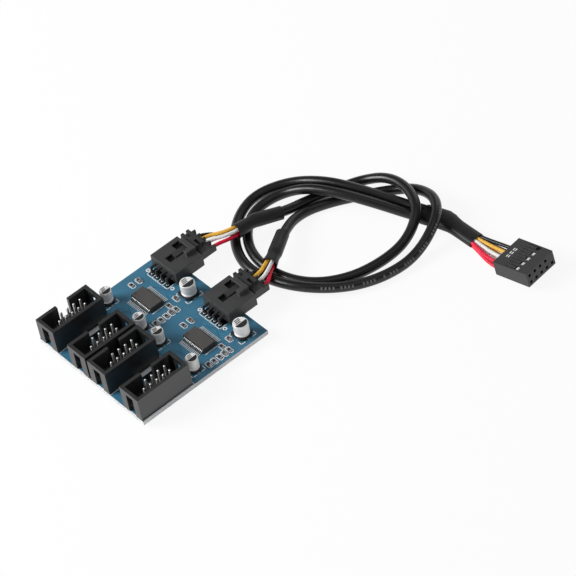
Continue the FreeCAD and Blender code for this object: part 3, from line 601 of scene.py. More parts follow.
class Shape:
    """A mesh in the making, in millimetres."""

    def __init__(self) -> None:
        """Starts with no points."""
        self.points: list[Vector] = []
        self.faces: list[tuple[int, ...]] = []
        self.finish_of_face: list[int] = []
        self.finish = 0

    def face(self, corners: list[int]) -> None:
        """Adds a face by its points' numbers, in the current finish."""
        self.faces.append(tuple(corners))
        self.finish_of_face.append(self.finish)

    def loft(self, rings: list[list[Vector]], caps: tuple[bool, bool] = (True, True)) -> None:
        """Joins rings of equal size by quads.

        Args:
            rings: Closed rings of points, in order.
            caps: Whether the first and the last ring are closed by a face.
        """
        start = len(self.points)
        count = len(rings[0])
        for ring in rings:
            self.points += ring
        for row in range(len(rings) - 1):
            base = start + row * count
            for this in range(count):
                following = (this + 1) % count
                self.face([base + this, base + following, base + count + following, base + count + this])
        if caps[0]:
            self.face([start + this for this in reversed(range(count))])
        if caps[1]:
            self.face([start + (len(rings) - 1) * count + this for this in range(count)])

    def slab(self, outline: list[Plan], low: float, high: float) -> None:
        """Raises a level outline between two heights."""
        self.loft([[Vector((x, y, height)) for x, y in outline] for height in (low, high)])

    def box(self, low: Point, high: Point) -> None:
        """Adds a box by two corners."""
        outline = [(low[0], low[1]), (high[0], low[1]), (high[0], high[1]), (low[0], high[1])]
        self.slab(outline, low[2], high[2])

    def lathe(self, profile: list[Plan], centre: Vector, sides: int) -> None:
        """Turns a profile about an upright axis, closed at both ends.

        Args:
            profile: Radius and height at each step.
            centre: A point on the axis.
            sides: The number of sides.
        """
        rings = []
        for radius, height in profile:
            rings.append([Vector((centre.x + x, centre.y + y, height)) for x, y in circle(radius, sides)])
        self.loft(rings)

    def line(self, path: list[Plan], width: float, low: float, high: float) -> None:
        """Lays a flat line along a level path, one strip for each run, with square ends.

        Args:
            path: The line's corners.
            width: Its width.
            low: Its lower height.
            high: Its upper height.
        """
        for start, finish in zip(path, path[1:]):
            run = Vector((finish[0] - start[0], finish[1] - start[1]))
            along = run.normalized() * width / 2
            side = Vector((-along.y, along.x))
            first = Vector(start) - along
            last = Vector(finish) + along
            outline = [first - side, last - side, last + side, first + side]
            self.slab([(corner.x, corner.y) for corner in outline], low, high)

    def frame(self, low: Plan, high: Plan, width: float, heights: Pair) -> None:
        """Lays the outline of a level rectangle as four lines."""
        corners = [low, (high[0], low[1]), high, (low[0], high[1]), low]
        self.line(corners, width, *heights)

    def piece(self, name: str, *finishes: Finishes, smooth_angle: float = 35.0) -> bpy.types.Object:
        """Makes the object of this shape.

        Args:
            name: The piece's name.
            finishes: Its finishes in the order of their numbers.
            smooth_angle: The angle in degrees above which an edge stays sharp.

        Returns:
            The object, riding on the part.
        """
        mesh = bpy.data.meshes.new(name)
        mesh.from_pydata([point * MM for point in self.points], [], self.faces)
        mesh.polygons.foreach_set("material_index", self.finish_of_face)
        for finish in finishes:
            mesh.materials.append(finish.value.material())
        mesh.shade_smooth()
        mesh.set_sharp_from_angle(angle=math.radians(smooth_angle))
        made = bpy.data.objects.new(name, mesh)
        return settle(made, finishes[0])


def settle(made: bpy.types.Object, finish: Finishes) -> bpy.types.Object:
    """Links a new piece, lets it ride on the part and reports it.

    Args:
        made: The piece's object.
        finish: Its first finish, which holds the record's slot.

    Returns:
        The same object.
    """
    bpy.context.scene.collection.objects.link(made)
    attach(made, BODY)
    LOG.info("made %s in %s", made.name, finish.value.name)
    return made


def dress_node(node: str, finish: Finishes, bevel: float = 0.0) -> bpy.types.Object:
    """Gives a CAD node its finish and rounds its edges.

    Args:
        node: The node's name.
        finish: Its finish.
        bevel: The width of the rounding, or 0 for none.

    Returns:
        The node's object.
    """
    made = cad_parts[node]
    made.data.materials.clear()
    made.data.materials.append(finish.value.material())
    if bevel:
        round_edges(made, bevel)
    LOG.info("dressed %s in %s", node, finish.value.name)
    return made


def round_edges(made: bpy.types.Object, width: float) -> None:
    """Joins a CAD node's triangles into flat faces and rounds its sharp edges, by modifiers alone.

    Args:
        made: The node's object.
        width: The width of the rounding.
    """
    weld = made.modifiers.new("weld", "WELD")
    weld.merge_threshold = WELD_GAP * MM
    flat = made.modifiers.new("flat_faces", "DECIMATE")
    flat.decimate_type = "DISSOLVE"
    flat.angle_limit = math.radians(FLAT_ANGLE)
    rounded = made.modifiers.new("rounded_edges", "BEVEL")
    rounded.width = width * MM
    rounded.segments = EDGE_SEGMENTS
    rounded.limit_method = "ANGLE"
    rounded.angle_limit = math.radians(EDGE_ANGLE)
    rounded.use_clamp_overlap = True
    made.modifiers.new("even_shading", "WEIGHTED_NORMAL").keep_sharp = False


@dataclass
class CircuitBoard:
    """The board with its masked traces, white print, pads and solder."""

    edge: float = 0.06
    copper_height: float = 0.02
    trace_width: float = 0.28
    trace_pitch: float = 0.65
    trace_spread: float = 0.55
    knee_lead: float = 0.9
    knee_step: float = 0.32
    outer_rank: int = 7
    front_run: float = 5.0
    front_limit: float = 20.6
    back_run: float = 2.0
    back_limit: float = 9.0
    via_radius: float = 0.42
    via_hole: float = 0.2
    via_rise: float = 0.01
    via_sides: int = 12
    print_height: float = 0.03
    print_width: float = 0.26
    header_side: float = 0.3
    header_front_inset: float = 0.16
    header_back: float = 0.35
    part_frame: Plan = (1.35, 0.75)
    chip_line_gap: float = 0.5
    chip_line_inset: float = 0.3
    corner_gap: float = 0.45
    corner_length: float = 1.5
    pin_half: float = 0.32
    comb_lead: float = 1.3
    comb_length: float = 2.7
    mark_gaps: Pair = (1.0, 1.1)
    mark_radii: Pair = (0.75, 0.35)
    mark_sides: int = 16
    bar_gap: float = 0.15
    bar_width: float = 1.8
    bar_reach: Pair = (10.8, 20.2)
    pad_height: float = 0.035
    pad_margin: float = 0.05
    foot_length: float = 0.4
    toe_length: float = 1.0
    part_half_length: float = 0.8
    fillet_width: float = 0.28
    fillet_share: float = 0.7
    fillet_half: float = 0.36
    joint_profile: tuple[Plan, ...] = ((0.36, -0.95), (0.46, -0.6), (0.62, -0.25), (0.66, -0.02),
                                       (0.66, 0.0))
    spot_profile: tuple[Plan, ...] = ((0.52, 0.0), (0.52, 0.15), (0.42, 0.4))
    joint_sides: int = 14
    box: Box = field(default_factory=lambda: node_box("circuit_board"))

    def build(self) -> None:
        """Dresses the board and lays everything that is printed, plated or soldered on it."""
        dress_node("circuit_board", Finishes.BOARD, self.edge)
        self.build_traces()
        self.build_print()
        self.build_pads()
        self.build_joints()

    @property
    def top(self) -> float:
        """The height of the board's upper face."""
        return self.box.high.z

    def build_traces(self) -> None:
        """Runs the masked copper lines from each hub chip to the headers and the input pins."""
        shape = Shape()
        low, high = self.top, self.top + self.copper_height
        via = [(self.via_radius, low), (self.via_radius, high), (self.via_hole, high + self.via_rise)]
        for side in CHANNELS:
            chip = node_box(f"hub_chip_{side}")
            for lead in solid_boxes(f"hub_chip_leads_{side}"):
                path = self.trace_path(lead, chip.middle)
                shape.line(path, self.trace_width, low, high)
                shape.lathe(via, Vector((*path[-1], 0)), self.via_sides)
        shape.piece("board_traces", Finishes.TRACE)

    def trace_path(self, lead: Box, middle: Vector) -> list[Plan]:
        """Works out one trace, which leaves its lead straight and then fans out.

        Args:
            lead: The lead's box.
            middle: The chip's middle.

        Returns:
            The trace's corners in plan.
        """
        x = lead.middle.x
        rank = round((x - middle.x) / self.trace_pitch)
        shift = self.trace_spread * rank
        lead_out = self.knee_lead + self.knee_step * (self.outer_rank - abs(rank))
        if lead.middle.y < middle.y:
            start = lead.low.y
            knee = start - lead_out
            reach = knee - abs(shift)
            finish = max(reach - self.front_run, self.box.low.y + self.front_limit)
        else:
            start = lead.high.y
            knee = start + lead_out
            reach = knee + abs(shift)
            finish = min(reach + self.back_run, self.box.high.y - self.back_limit)
        return [(x, start), (x, knee), (x + shift, reach), (x + shift, finish)]

    def build_print(self) -> None:
        """Lays the white outlines round the headers, cans, small parts and input pins."""
        shape = Shape()
        heights = (self.top, self.top + self.print_height)
        for number in HEADERS:
            shroud = node_box(f"box_header_shroud_{number}")
            near = (shroud.low.x - self.header_side, shroud.low.y + self.header_front_inset)
            far = (shroud.high.x + self.header_side, shroud.high.y + self.header_back)
            shape.frame(near, far, self.print_width, heights)
        wide, deep = self.part_frame
        for body in solid_boxes("chip_resistors") + solid_boxes("chip_capacitors"):
            x, y = body.middle.xy
            shape.frame((x - wide, y - deep), (x + wide, y + deep), self.print_width, heights)
        for number in CANS:
            self.can_corners(shape, node_box(f"capacitor_base_{number}"), heights)
        for side in CHANNELS:
            chip = node_box(f"hub_chip_{side}")
            end = chip.high.x + self.chip_line_gap
            ends = [(end, chip.low.y + self.chip_line_inset), (end, chip.high.y - self.chip_line_inset)]
            shape.line(ends, self.print_width, *heights)
            self.input_comb(shape, side, heights)
            self.wall_bar(shape, side, heights)
        shape.piece("board_print", Finishes.INK)

    def can_corners(self, shape: Shape, base: Box, heights: Pair) -> None:
        """Marks the corners of a can's base by short angles.

        Args:
            shape: The print's shape.
            base: The base's box.
            heights: The print's lower and upper heights.
        """
        reach = base.spans.x / 2 + self.corner_gap
        for x_way in (-1, 1):
            for y_way in (-1, 1):
                x = base.middle.x + x_way * reach
                y = base.middle.y + y_way * reach
                angle = [(x, y - y_way * self.corner_length), (x, y), (x - x_way * self.corner_length, y)]
                shape.line(angle, self.print_width, *heights)

    def input_comb(self, shape: Shape, side: str, heights: Pair) -> None:
        """Prints the four cells and two round marks at an input connector's pins.

        Args:
            shape: The print's shape.
            side: The channel.
            heights: The print's lower and upper heights.
        """
        tails = row_boxes(f"input_header_pins_{side}")
        pitch = tails[1].middle.x - tails[0].middle.x
        row = tails[0].low.y + self.pin_half
        first = tails[0].middle.x - pitch / 2
        last = tails[-1].middle.x + pitch / 2
        near = row - self.comb_lead
        shape.line([(first, near), (last, near)], self.print_width, *heights)
        for cell in range(len(tails) + 1):
            x = first + cell * pitch
            shape.line([(x, near), (x, near + self.comb_length)], self.print_width, *heights)
        for x in (first - self.mark_gaps[0], last + self.mark_gaps[1]):
            rings = []
            for radius in self.mark_radii:
                points = circle(radius, self.mark_sides)
                rings.append([Vector((x + across, row + along, heights[1])) for across, along in points])
            shape.loft(rings, (False, False))

    def wall_bar(self, shape: Shape, side: str, heights: Pair) -> None:
        """Prints the plain white bar beside the wall of a channel's first box header.

        Args:
            shape: The print's shape.
            side: The channel.
            heights: The print's lower and upper heights.
        """
        number = HEADERS[2 * CHANNELS.index(side)]
        wall = node_box(f"box_header_shroud_{number}").high.x + self.bar_gap
        near, far = [self.box.low.y + reach for reach in self.bar_reach]
        shape.box((wall, near, heights[0]), (wall + self.bar_width, far, heights[1]))

    def build_pads(self) -> None:
        """Plates the pads under leads and terminals and fills the joints at their ends with solder."""
        shape = Shape()
        low, high = self.top, self.top + self.pad_height
        margin = self.pad_margin
        for side in CHANNELS:
            chip = node_box(f"hub_chip_{side}")
            for lead in solid_boxes(f"hub_chip_leads_{side}"):
                away = -1 if lead.middle.y < chip.middle.y else 1
                tip = lead.low.y if away < 0 else lead.high.y
                ends = sorted((tip - away * self.foot_length, tip + away * self.toe_length))
                shape.box((lead.low.x, ends[0], low), (lead.high.x, ends[1], high))
        for number, node in enumerate(("capacitor_terminals", "chip_part_terminals")):
            shape.finish = number
            for terminal in solid_boxes(node):
                shape.box((terminal.low.x - margin, terminal.low.y - margin, low),
                          (terminal.high.x + margin, terminal.high.y + margin, high))
        for body in solid_boxes("chip_resistors") + solid_boxes("chip_capacitors"):
            self.part_fillets(shape, body, high)
        shape.piece("solder_pads", Finishes.SOLDER, Finishes.PART_TIN)

    def part_fillets(self, shape: Shape, body: Box, level: float) -> None:
        """Fills the joints at both ends of a small part with solder.

        Args:
            shape: The pads' shape.
            body: The small part's box.
            level: The height of the pads.
        """
        rise = body.spans.z * self.fillet_share
        for way in (-1, 1):
            wall = body.middle.x + way * self.part_half_length
            section = [(wall, level), (wall + way * self.fillet_width, level), (wall, level + rise)]
            rings = []
            for y in (-self.fillet_half, self.fillet_half):
                rings.append([Vector((x, body.middle.y + y, z)) for x, z in section[::way]])
            shape.loft(rings)

    def build_joints(self) -> None:
        """Sets a solder cone round every pin tail under the board and a ring round the input pins above."""
        shape = Shape()
        under = [(radius, self.box.low.z + rise) for radius, rise in self.joint_profile]
        over = [(radius, self.top + rise) for radius, rise in self.spot_profile]
        nodes = [f"box_header_pins_{number}" for number in HEADERS]
        spots = [pin.middle for node in nodes for pin in solid_boxes(node)]
        tails = [pin for side in CHANNELS for pin in solid_boxes(f"input_header_pins_{side}")]
        inputs = [Vector((pin.middle.x, pin.low.y + self.pin_half, 0)) for pin in tails]
        for spot in spots + inputs:
            shape.lathe(under, spot, self.joint_sides)
        for spot in inputs:
            shape.lathe(over, spot, self.joint_sides)
        shape.piece("solder_joints", Finishes.SOLDER)


@dataclass
class BoxHeader:
    """One shrouded header with its pins."""

    number: int
    edge: float = 0.16
    pin_edge: float = 0.05
    # Size and place of the dark sheet of painted shade beside the key notch.
    notch_shade_width: float = 4.9
    notch_shade_overlap: float = 0.1
    notch_shade_reach: Pair = (11.4, 16.5)
    notch_shade_height: float = 0.12

    def build(self) -> None:
        """Dresses the shroud and the pins, and lays a dark sheet of painted shade beside every second
        header.
        """
        dress_node(f"box_header_shroud_{self.number}", Finishes.HEADER, self.edge)
        dress_node(f"box_header_pins_{self.number}", Finishes.TIN, self.pin_edge)
        if self.number % 2 == 0:
            self.build_notch_shade()

    def build_notch_shade(self) -> None:
        """Lays a dark sheet of painted shade on the board outside the key notch, where the gap between two
        headers lies in shade.
        """
        shroud = node_box(f"box_header_shroud_{self.number}")
        near, far = [shroud.low.y + reach for reach in self.notch_shade_reach]
        shape = Shape()
        shape.box((shroud.low.x - self.notch_shade_width, near, shroud.low.z),
                  (shroud.low.x + self.notch_shade_overlap, far, shroud.low.z + self.notch_shade_height))
        shape.piece(f"box_header_notch_shade_{self.number}", Finishes.PIN_BASE)


@dataclass
class InputConnector:
    """A latching input header with the plug in it."""

    side: str
    edge: float = 0.14
    pin_edge: float = 0.06
    roof_drop: float = 2.7
    # Size and place of the dark sheet of painted shade on the plug's top.
    latch_shade_height: float = 0.03
    latch_shade_sink: float = 0.02
    latch_shade_margin: float = 0.4
    latch_shade_front: float = 1.0
    latch_shade_back: float = 0.1
    # Size and place of the dark sheets of painted shade under the bent pins.
    pin_shade_height: float = 0.12
    pin_shade_gap: float = 0.32
    pin_shade_lead: float = 0.45
    pin_shade_overlap: float = 0.2
    pin_shade_sill: float = 1.5

    def build(self) -> None:
        """Dresses the mouldings, the bent pins and the contacts and adds the dark sheets of painted shade on
        the plug's top and under the pins.
        """
        dress_node(f"input_header_{self.side}", Finishes.INPUT, self.edge)
        dress_node(f"input_plug_{self.side}", Finishes.PLUG, self.edge)
        # The bent pins take tin painted dark as shade.
        dress_node(f"input_header_pins_{self.side}", Finishes.DARK_LEAD, self.pin_edge)
        dress_node(f"input_plug_contacts_{self.side}", Finishes.TIN)
        self.build_latch_shade()
        self.build_pin_shade()

    def build_latch_shade(self) -> None:
        """Lays a dark sheet of painted shade on the plug's top, which shows through the openings of the
        header's roof.
        """
        header = node_box(f"input_header_{self.side}")
        top = header.high.z - self.roof_drop
        low = (header.low.x + self.latch_shade_margin, header.low.y + self.latch_shade_front, top - self.latch_shade_sink)
        high = (header.high.x - self.latch_shade_margin, header.high.y - self.latch_shade_back, top + self.latch_shade_height)
        shape = Shape()
        shape.box(low, high)
        shape.piece(f"input_plug_latch_shade_{self.side}", Finishes.PIN_BASE)

    def build_pin_shade(self) -> None:
        """Lays a thin dark sheet of painted shade under each bent pin and along the header's front, from the
        printed comb to the header.
        """
        pins = row_boxes(f"input_header_pins_{self.side}")
        half = (pins[1].middle.x - pins[0].middle.x) / 2 - self.pin_shade_gap
        far = node_box(f"input_header_{self.side}").low.y + self.pin_shade_overlap
        floor = node_box("circuit_board").high.z
        top = floor + self.pin_shade_height
        shape = Shape()
        for pin in pins:
            near = pin.low.y - self.pin_shade_lead
            shape.box((pin.middle.x - half, near, floor), (pin.middle.x + half, far, top))
        sill = far - self.pin_shade_sill
        shape.box((pins[0].middle.x - half, sill, floor), (pins[-1].middle.x + half, far, top))
        shape.piece(f"input_pin_shade_{self.side}", Finishes.PIN_BASE)


@dataclass
class HubChip:
    """One hub chip with its leads and the dimple beside its first lead."""

    side: str
    edge: float = 0.1
    dimple_inset: float = 1.15
    dimple_profile: tuple[Plan, ...] = ((0.55, -0.02), (0.55, 0.012), (0.484, 0.004), (0.11, 0.004))
    dimple_sides: int = 24

    def build(self) -> None:
        """Dresses the chip and sinks its dimple."""
        dress_node(f"hub_chip_{self.side}", Finishes.CHIP, self.edge)
        dress_node(f"hub_chip_leads_{self.side}", Finishes.LEAD)
        body = node_box(f"hub_chip_{self.side}")
        spot = Vector((body.low.x + self.dimple_inset, body.low.y + self.dimple_inset, 0))
        shape = Shape()
        shape.lathe([(radius, body.high.z + rise) for radius, rise in self.dimple_profile], spot,
                    self.dimple_sides)
        shape.piece(f"hub_chip_dimple_{self.side}", Finishes.DIMPLE)


@dataclass
class CanCapacitor:
    """One aluminium can with its crimp, coated top and moulded base."""

    number: int
    sides: int = 40
    base_edge: float = 0.1
    chamfer: float = 0.12
    crimp_depth: float = 0.3
    crimp_low: float = 0.45
    crimp_height: float = 0.75
    crimp_steps: int = 8
    edge: float = 0.3
    edge_steps: int = 6
    rim_share: float = 1.3
    rim_drop: float = 0.03
    coat_share: float = 0.75
    coat_profile: tuple[Plan, ...] = ((1.0, -0.04), (1.0, -0.008), (0.97, -0.005))
    mark_depths: Pair = (0.01, 0.001)
    moon_share: float = 0.985
    moon_chord: float = 0.08
    moon_steps: int = 16
    stroke_share: float = 0.17
    stroke_count: int = 3
    stroke_start: float = 0.14
    stroke_step: float = 0.29
    stroke_half: float = 0.56
    stroke_taper: float = 0.1
    stroke_end: float = 0.2
    stroke_growth: float = 0.3

    def build(self) -> None:
        """Turns the can and its marks and dresses the base."""
        dress_node(f"capacitor_base_{self.number}", Finishes.CAN_BASE, self.base_edge)
        box = node_box(f"capacitor_can_{self.number}")
        radius = box.spans.x / 2
        top = box.high.z
        shape = Shape()
        shape.lathe(self.profile(radius, box.low.z, top), box.middle, self.sides)
        can = shape.piece(f"capacitor_can_turned_{self.number}", Finishes.ALUMINIUM)
        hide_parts(f"capacitor_can_{self.number}")
        coated = radius - self.edge * self.coat_share
        self.build_coat(box.middle, coated, top)
        self.build_mark(box.middle, coated, top)

    def profile(self, radius: float, low: float, top: float) -> list[Plan]:
        """Works out the turned outline.

        Args:
            radius: The can's radius.
            low: The height of its foot.
            top: The height of its top.

        Returns:
            Radius and height from the foot up to the sunk top.
        """
        crimp = low + self.crimp_low
        outline = [(radius - self.chamfer, low), (radius, low + self.chamfer), (radius, crimp)]
        for step in range(1, self.crimp_steps + 1):
            share = step / self.crimp_steps
            depth = self.crimp_depth * math.sin(math.pi * share)
            outline.append((radius - depth, crimp + self.crimp_height * share))
        for step in range(self.edge_steps + 1):
            turn = math.pi / 2 * step / self.edge_steps
            inward = self.edge * (1 - math.cos(turn))
            down = self.edge * (1 - math.sin(turn))
            outline.append((radius - inward, top - down))
        outline.append((radius - self.edge * self.rim_share, top - self.rim_drop))
        return outline

    def build_coat(self, middle: Vector, radius: float, top: float) -> None:
        """Coats the can's top.

        Args:
            middle: The can's middle.
            radius: The radius of the coated top.
            top: The can's height.
        """
        coat = Shape()
        coat.lathe([(radius * share, top + rise) for share, rise in self.coat_profile], middle, self.sides)
        coat.piece(f"capacitor_top_{self.number}", Finishes.CAN_TOP)

    def build_mark(self, middle: Vector, radius: float, top: float) -> None:
        """Prints the dark half-moon and three plain bars on the can's top.

        Args:
            middle: The can's middle.
            radius: The radius of the coated top.
            top: The can's height.
        """
        mark = Shape()
        low, high = [top - depth for depth in self.mark_depths]
        inner = radius * self.moon_share
        chord = math.acos(self.moon_chord)
        turns = [chord * (2 * step / self.moon_steps - 1) for step in range(self.moon_steps + 1)]
        moon = [(middle.x + inner * math.cos(turn), middle.y + inner * math.sin(turn)) for turn in turns]
        mark.slab(moon, low, high)
        for row in range(self.stroke_count):
            x = middle.x - radius * (self.stroke_start + self.stroke_step * row)
            half = radius * (self.stroke_half - self.stroke_taper * row)
            end = middle.y + half * (self.stroke_end + self.stroke_growth * row)
            mark.line([(x, middle.y - half), (x, end)], radius * self.stroke_share, low, high)
        mark.piece(f"capacitor_mark_{self.number}", Finishes.CAN_MARK)


@dataclass
class SmallParts:
    """The chip resistors and capacitors and every flat terminal."""

    edge: float = 0.06

    def build(self) -> None:
        """Dresses the small parts."""
        dress_node("chip_resistors", Finishes.RESISTOR, self.edge)
        dress_node("chip_capacitors", Finishes.CERAMIC, self.edge)
        dress_node("chip_part_terminals", Finishes.PART_TIN, self.edge)
        dress_node("capacitor_terminals", Finishes.TIN)


CABLE_ROUTES: dict[str, list[Point]] = {
    "a": [(-11.9, 50.2, 5.6), (-8.8, 60.1, 4.0), (-8.8, 70.6, 1.7), (-5.6, 79.8, 1.7), (-2.2, 87.6, 2.2),
          (6.0, 92.3, 5.6), (16.4, 92.2, 7.0), (25.6, 87.7, 6.6), (29.5, 78.6, 2.4), (30.0, 67.4, 1.7),
          (27.4, 55.6, 1.7), (20.2, 46.0, 1.7), (9.6, 41.2, 1.7), (-2.6, 41.2, 1.7), (-12.6, 46.4, 1.7),
          (-19.0, 55.4, 1.7), (-17.6, 65.4, 2.6), (-9.4, 71.4, 6.2), (0.6, 76.2, 6.6), (11.2, 81.8, 4.8),
          (22.0, 87.5, 2.2), (32.8, 91.4, 2.2)],
    "b": [(4.3, 45.0, 5.6), (-2.8, 55.1, 4.2), (-6.2, 65.0, 1.7), (-2.8, 74.2, 1.7), (2.6, 83.0, 1.7),
          (8.2, 91.4, 1.7), (16.6, 96.0, 4.4), (27.2, 94.6, 7.4), (34.4, 86.8, 6.8), (36.5, 76.0, 2.2),
          (35.6, 64.6, 1.7), (31.4, 53.4, 2.4), (23.4, 43.8, 3.5), (12.2, 38.0, 3.2), (-0.8, 36.4, 2.0),
          (-12.4, 41.2, 1.7), (-20.8, 50.0, 1.7), (-24.2, 60.6, 1.7), (-18.2, 70.8, 3.8), (-7.8, 76.8, 6.4),
          (2.2, 81.6, 6.0), (12.0, 86.8, 3.6), (21.6, 91.1, 2.2), (31.6, 94.7, 2.2)],
}
SHRINK_MOUTHS: dict[str, Point] = {"a": (-12.0, 42.7, 6.2), "b": (7.1, 40.4, 6.0)}
CABLE_LENGTHS: dict[str, float] = {"a": 226.5, "b": 258.2}
HOST_COLUMNS: dict[str, int] = {"red": -2, "white": -1, "yellow": 0, "black": 1}
HOST_ROWS: dict[str, int] = {"a": 1, "b": -1}


def round_cord(name: str, route: list[Vector], diameter: float, finish: Finishes) -> bpy.types.Object:
    """Draws a round cord on one smooth spline.

    Args:
        name: The piece's name.
        route: The spline's control points.
        diameter: The cord's diameter.
        finish: Its finish.

    Returns:
        The curve's object, riding on the part.
    """
    curve = bpy.data.curves.new(name, "CURVE")
    curve.dimensions = "3D"
    curve.bevel_depth = diameter / 2 * MM
    curve.bevel_resolution = CORD_ROUNDNESS
    curve.resolution_u = CORD_STEPS
    curve.use_fill_caps = True
    spline = curve.splines.new("NURBS")
    spline.points.add(len(route) - 1)
    for point, spot in zip(spline.points, route):
        point.co = (*(spot * MM), 1.0)
    spline.order_u = CORD_ORDER
    spline.use_endpoint_u = True
    curve.materials.append(finish.value.material())
    return settle(bpy.data.objects.new(name, curve), finish)


def eased(share: float) -> float:
    """Returns a share from 0 to 1 that starts and ends gently."""
    held = min(1.0, max(0.0, share))
    return held * held * (3 - 2 * held)


def oval(middle: Vector, across: Vector, upward: Vector, half_width: float, half_height: float,
         squareness: float, sides: int) -> list[Vector]:
    """Returns a ring between an ellipse and a box.

    Args:
        middle: The ring's centre.
        across: The direction of its width.
        upward: The direction of its height.
        half_width: Half of its width.
        half_height: Half of its height.
        squareness: The power of the curve, 2 for an ellipse.
        sides: The number of points.

    Returns:
        The ring's points.
    """
    ring = []
    for side in range(sides):
        angle = 2 * math.pi * side / sides
        x = math.copysign(abs(math.cos(angle)) ** (2 / squareness), math.cos(angle)) * half_width
        y = math.copysign(abs(math.sin(angle)) ** (2 / squareness), math.sin(angle)) * half_height
        ring.append(middle + across * x + upward * y)
    return ring


@dataclass
class Cable:
    """One cable of the lead: jacket, bare wires at the input plug and the heat-shrink over their joint."""

    side: str
    length: float
    marked: bool = False
    diameter: float = 3.4
    wire_diameter: float = 1.25
    wire_lead: float = 0.8
    wire_fan: float = 0.25
    wire_end_gap: float = 0.6
    bundle_spacing: float = 1.7
    bundle_lead: float = 2.0
    mouth_radius: float = 2.5
    neck_radius: float = 2.15
    bulge_radius: float = 2.35
    tail_radius: float = 2.25
    neck_gap: float = 1.8
    bulge_gap: float = 0.5
    tail_length: float = 9.6
    shrink_wall: float = 0.25
    shrink_rings: int = 9
    squareness: float = 2.1
    mark_reach: Pair = (78.0, 131.0)
    mark_pitch: float = 1.15
    mark_length: float = 0.6
    mark_width: float = 0.95
    mark_lift: float = 0.015
    mark_aside: float = 0.8
    mark_up: float = 0.6
    word_length: int = 4
    word_pitch: int = 6
    sides: int = 36
    colours: tuple[str, ...] = ("black", "yellow", "white", "red")

    def __post_init__(self) -> None:
        """Works out the directions at the route's start and at the heat-shrink's mouth."""
        self.route = [Vector(point) for point in CABLE_ROUTES[self.side]]
        self.jacket_end = self.route[0]
        self.along = (self.route[1] - self.route[0]).normalized()
        self.mouth = Vector(SHRINK_MOUTHS[self.side])
        self.inward = (self.jacket_end - self.mouth).normalized()
        self.across = self.inward.cross(UP).normalized()
        self.upward = self.across.cross(self.inward)

    def build(self) -> bpy.types.Object:
        """Builds the jacket, wires and heat-shrink.

        Returns:
            The jacket's object.
        """
        jacket = round_cord(f"cable_jacket_{self.side}", self.route, self.diameter, Finishes.JACKET)
        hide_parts(f"cable_{self.side}")
        for order, colour in enumerate(self.colours):
            wire = round_cord(f"wire_{self.side}_{colour}_input", self.input_wire(order), self.wire_diameter,
                              WIRE_FINISHES[colour])
            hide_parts(f"wire_{self.side}_{colour}")
        self.build_shrink()
        if self.marked:
            self.build_print(jacket)
        return jacket

    def spine(self, jacket: bpy.types.Object) -> list[Vector]:
        """Reads points along the jacket's spline.

        Args:
            jacket: The jacket's object.

        Returns:
            The points in order, in millimetres.
        """
        bare = jacket.data.copy()
        bare.bevel_depth = 0.0
        carrier = bpy.data.objects.new("spine", bare)
        mesh = bpy.data.meshes.new_from_object(carrier)
        points = [vertex.co / MM for vertex in mesh.vertices]
        bpy.data.objects.remove(carrier)
        bpy.data.curves.remove(bare)
        bpy.data.meshes.remove(mesh)
        return points

    def build_print(self, jacket: bpy.types.Object) -> None:
        """Prints a row of plain grey marks along a stretch of the jacket, on its upper outer side.

        Args:
            jacket: The jacket's object.
        """
        points = self.spine(jacket)
        middle = sum(points, Vector()) / len(points)
        shape = Shape()
        travelled = 0.0
        for start, finish in zip(points, points[1:]):
            run = finish - start
            count = round(travelled / self.mark_pitch)
            travelled += run.length
            inside = self.mark_reach[0] < travelled < self.mark_reach[1]
            stepped = round(travelled / self.mark_pitch) > count
            if inside and stepped and count % self.word_pitch < self.word_length:
                self.print_mark(shape, start, run.normalized(), middle)
        shape.piece(self.print_name, Finishes.JACKET_PRINT)

    def print_mark(self, shape: Shape, spot: Vector, along: Vector, middle: Vector) -> None:
        """Lays one mark on the jacket's skin.

        Args:
            shape: The print's shape.
            spot: The middle of the jacket where the mark starts.
            along: The jacket's direction there.
            middle: The middle of the loop, from which the mark faces away.
        """
        aside = Vector((spot.x - middle.x, spot.y - middle.y, 0)).normalized()
        outward = aside * self.mark_aside + UP * self.mark_up
        facing = (outward - along * outward.dot(along)).normalized()
        across = along.cross(facing)
        base = len(shape.points)
        for way in (-1, 0, 1):
            turn = way * self.mark_width / self.diameter
            skin = (facing * math.cos(turn) + across * math.sin(turn)) * (self.diameter / 2 + self.mark_lift)
            shape.points += [spot + skin, spot + skin + along * self.mark_length]
        for row in (base, base + 2):
            shape.face([row, row + 1, row + 3, row + 2])

    @property
    def print_name(self) -> str:
        """The name of the jacket's print."""
        return f"cable_print_{self.side}"

    def input_wire(self, order: int) -> list[Vector]:
        """Returns the route of one bare wire from its contact to the jacket's end.

        Args:
            order: The wire's place in the plug, counted along X.

        Returns:
            Its control points.
        """
        contacts = row_boxes(f"input_plug_contacts_{self.side}")
        contact = contacts[order]
        plug = node_box(f"input_plug_{self.side}")
        way = 1 if order >= len(contacts) / 2 else -1
        rise = -1 if order in (0, len(contacts) - 1) else 1
        offset = (self.across * way + self.upward * rise) * (self.bundle_spacing / 2)
        level = contact.middle.z + rise * self.wire_fan
        return [Vector((contact.middle.x, contact.high.y, level)),
                Vector((contact.middle.x, plug.high.y + self.wire_lead, level)),
                self.mouth - self.inward * self.bundle_lead + offset,
                self.jacket_end - self.inward * self.wire_end_gap + offset]

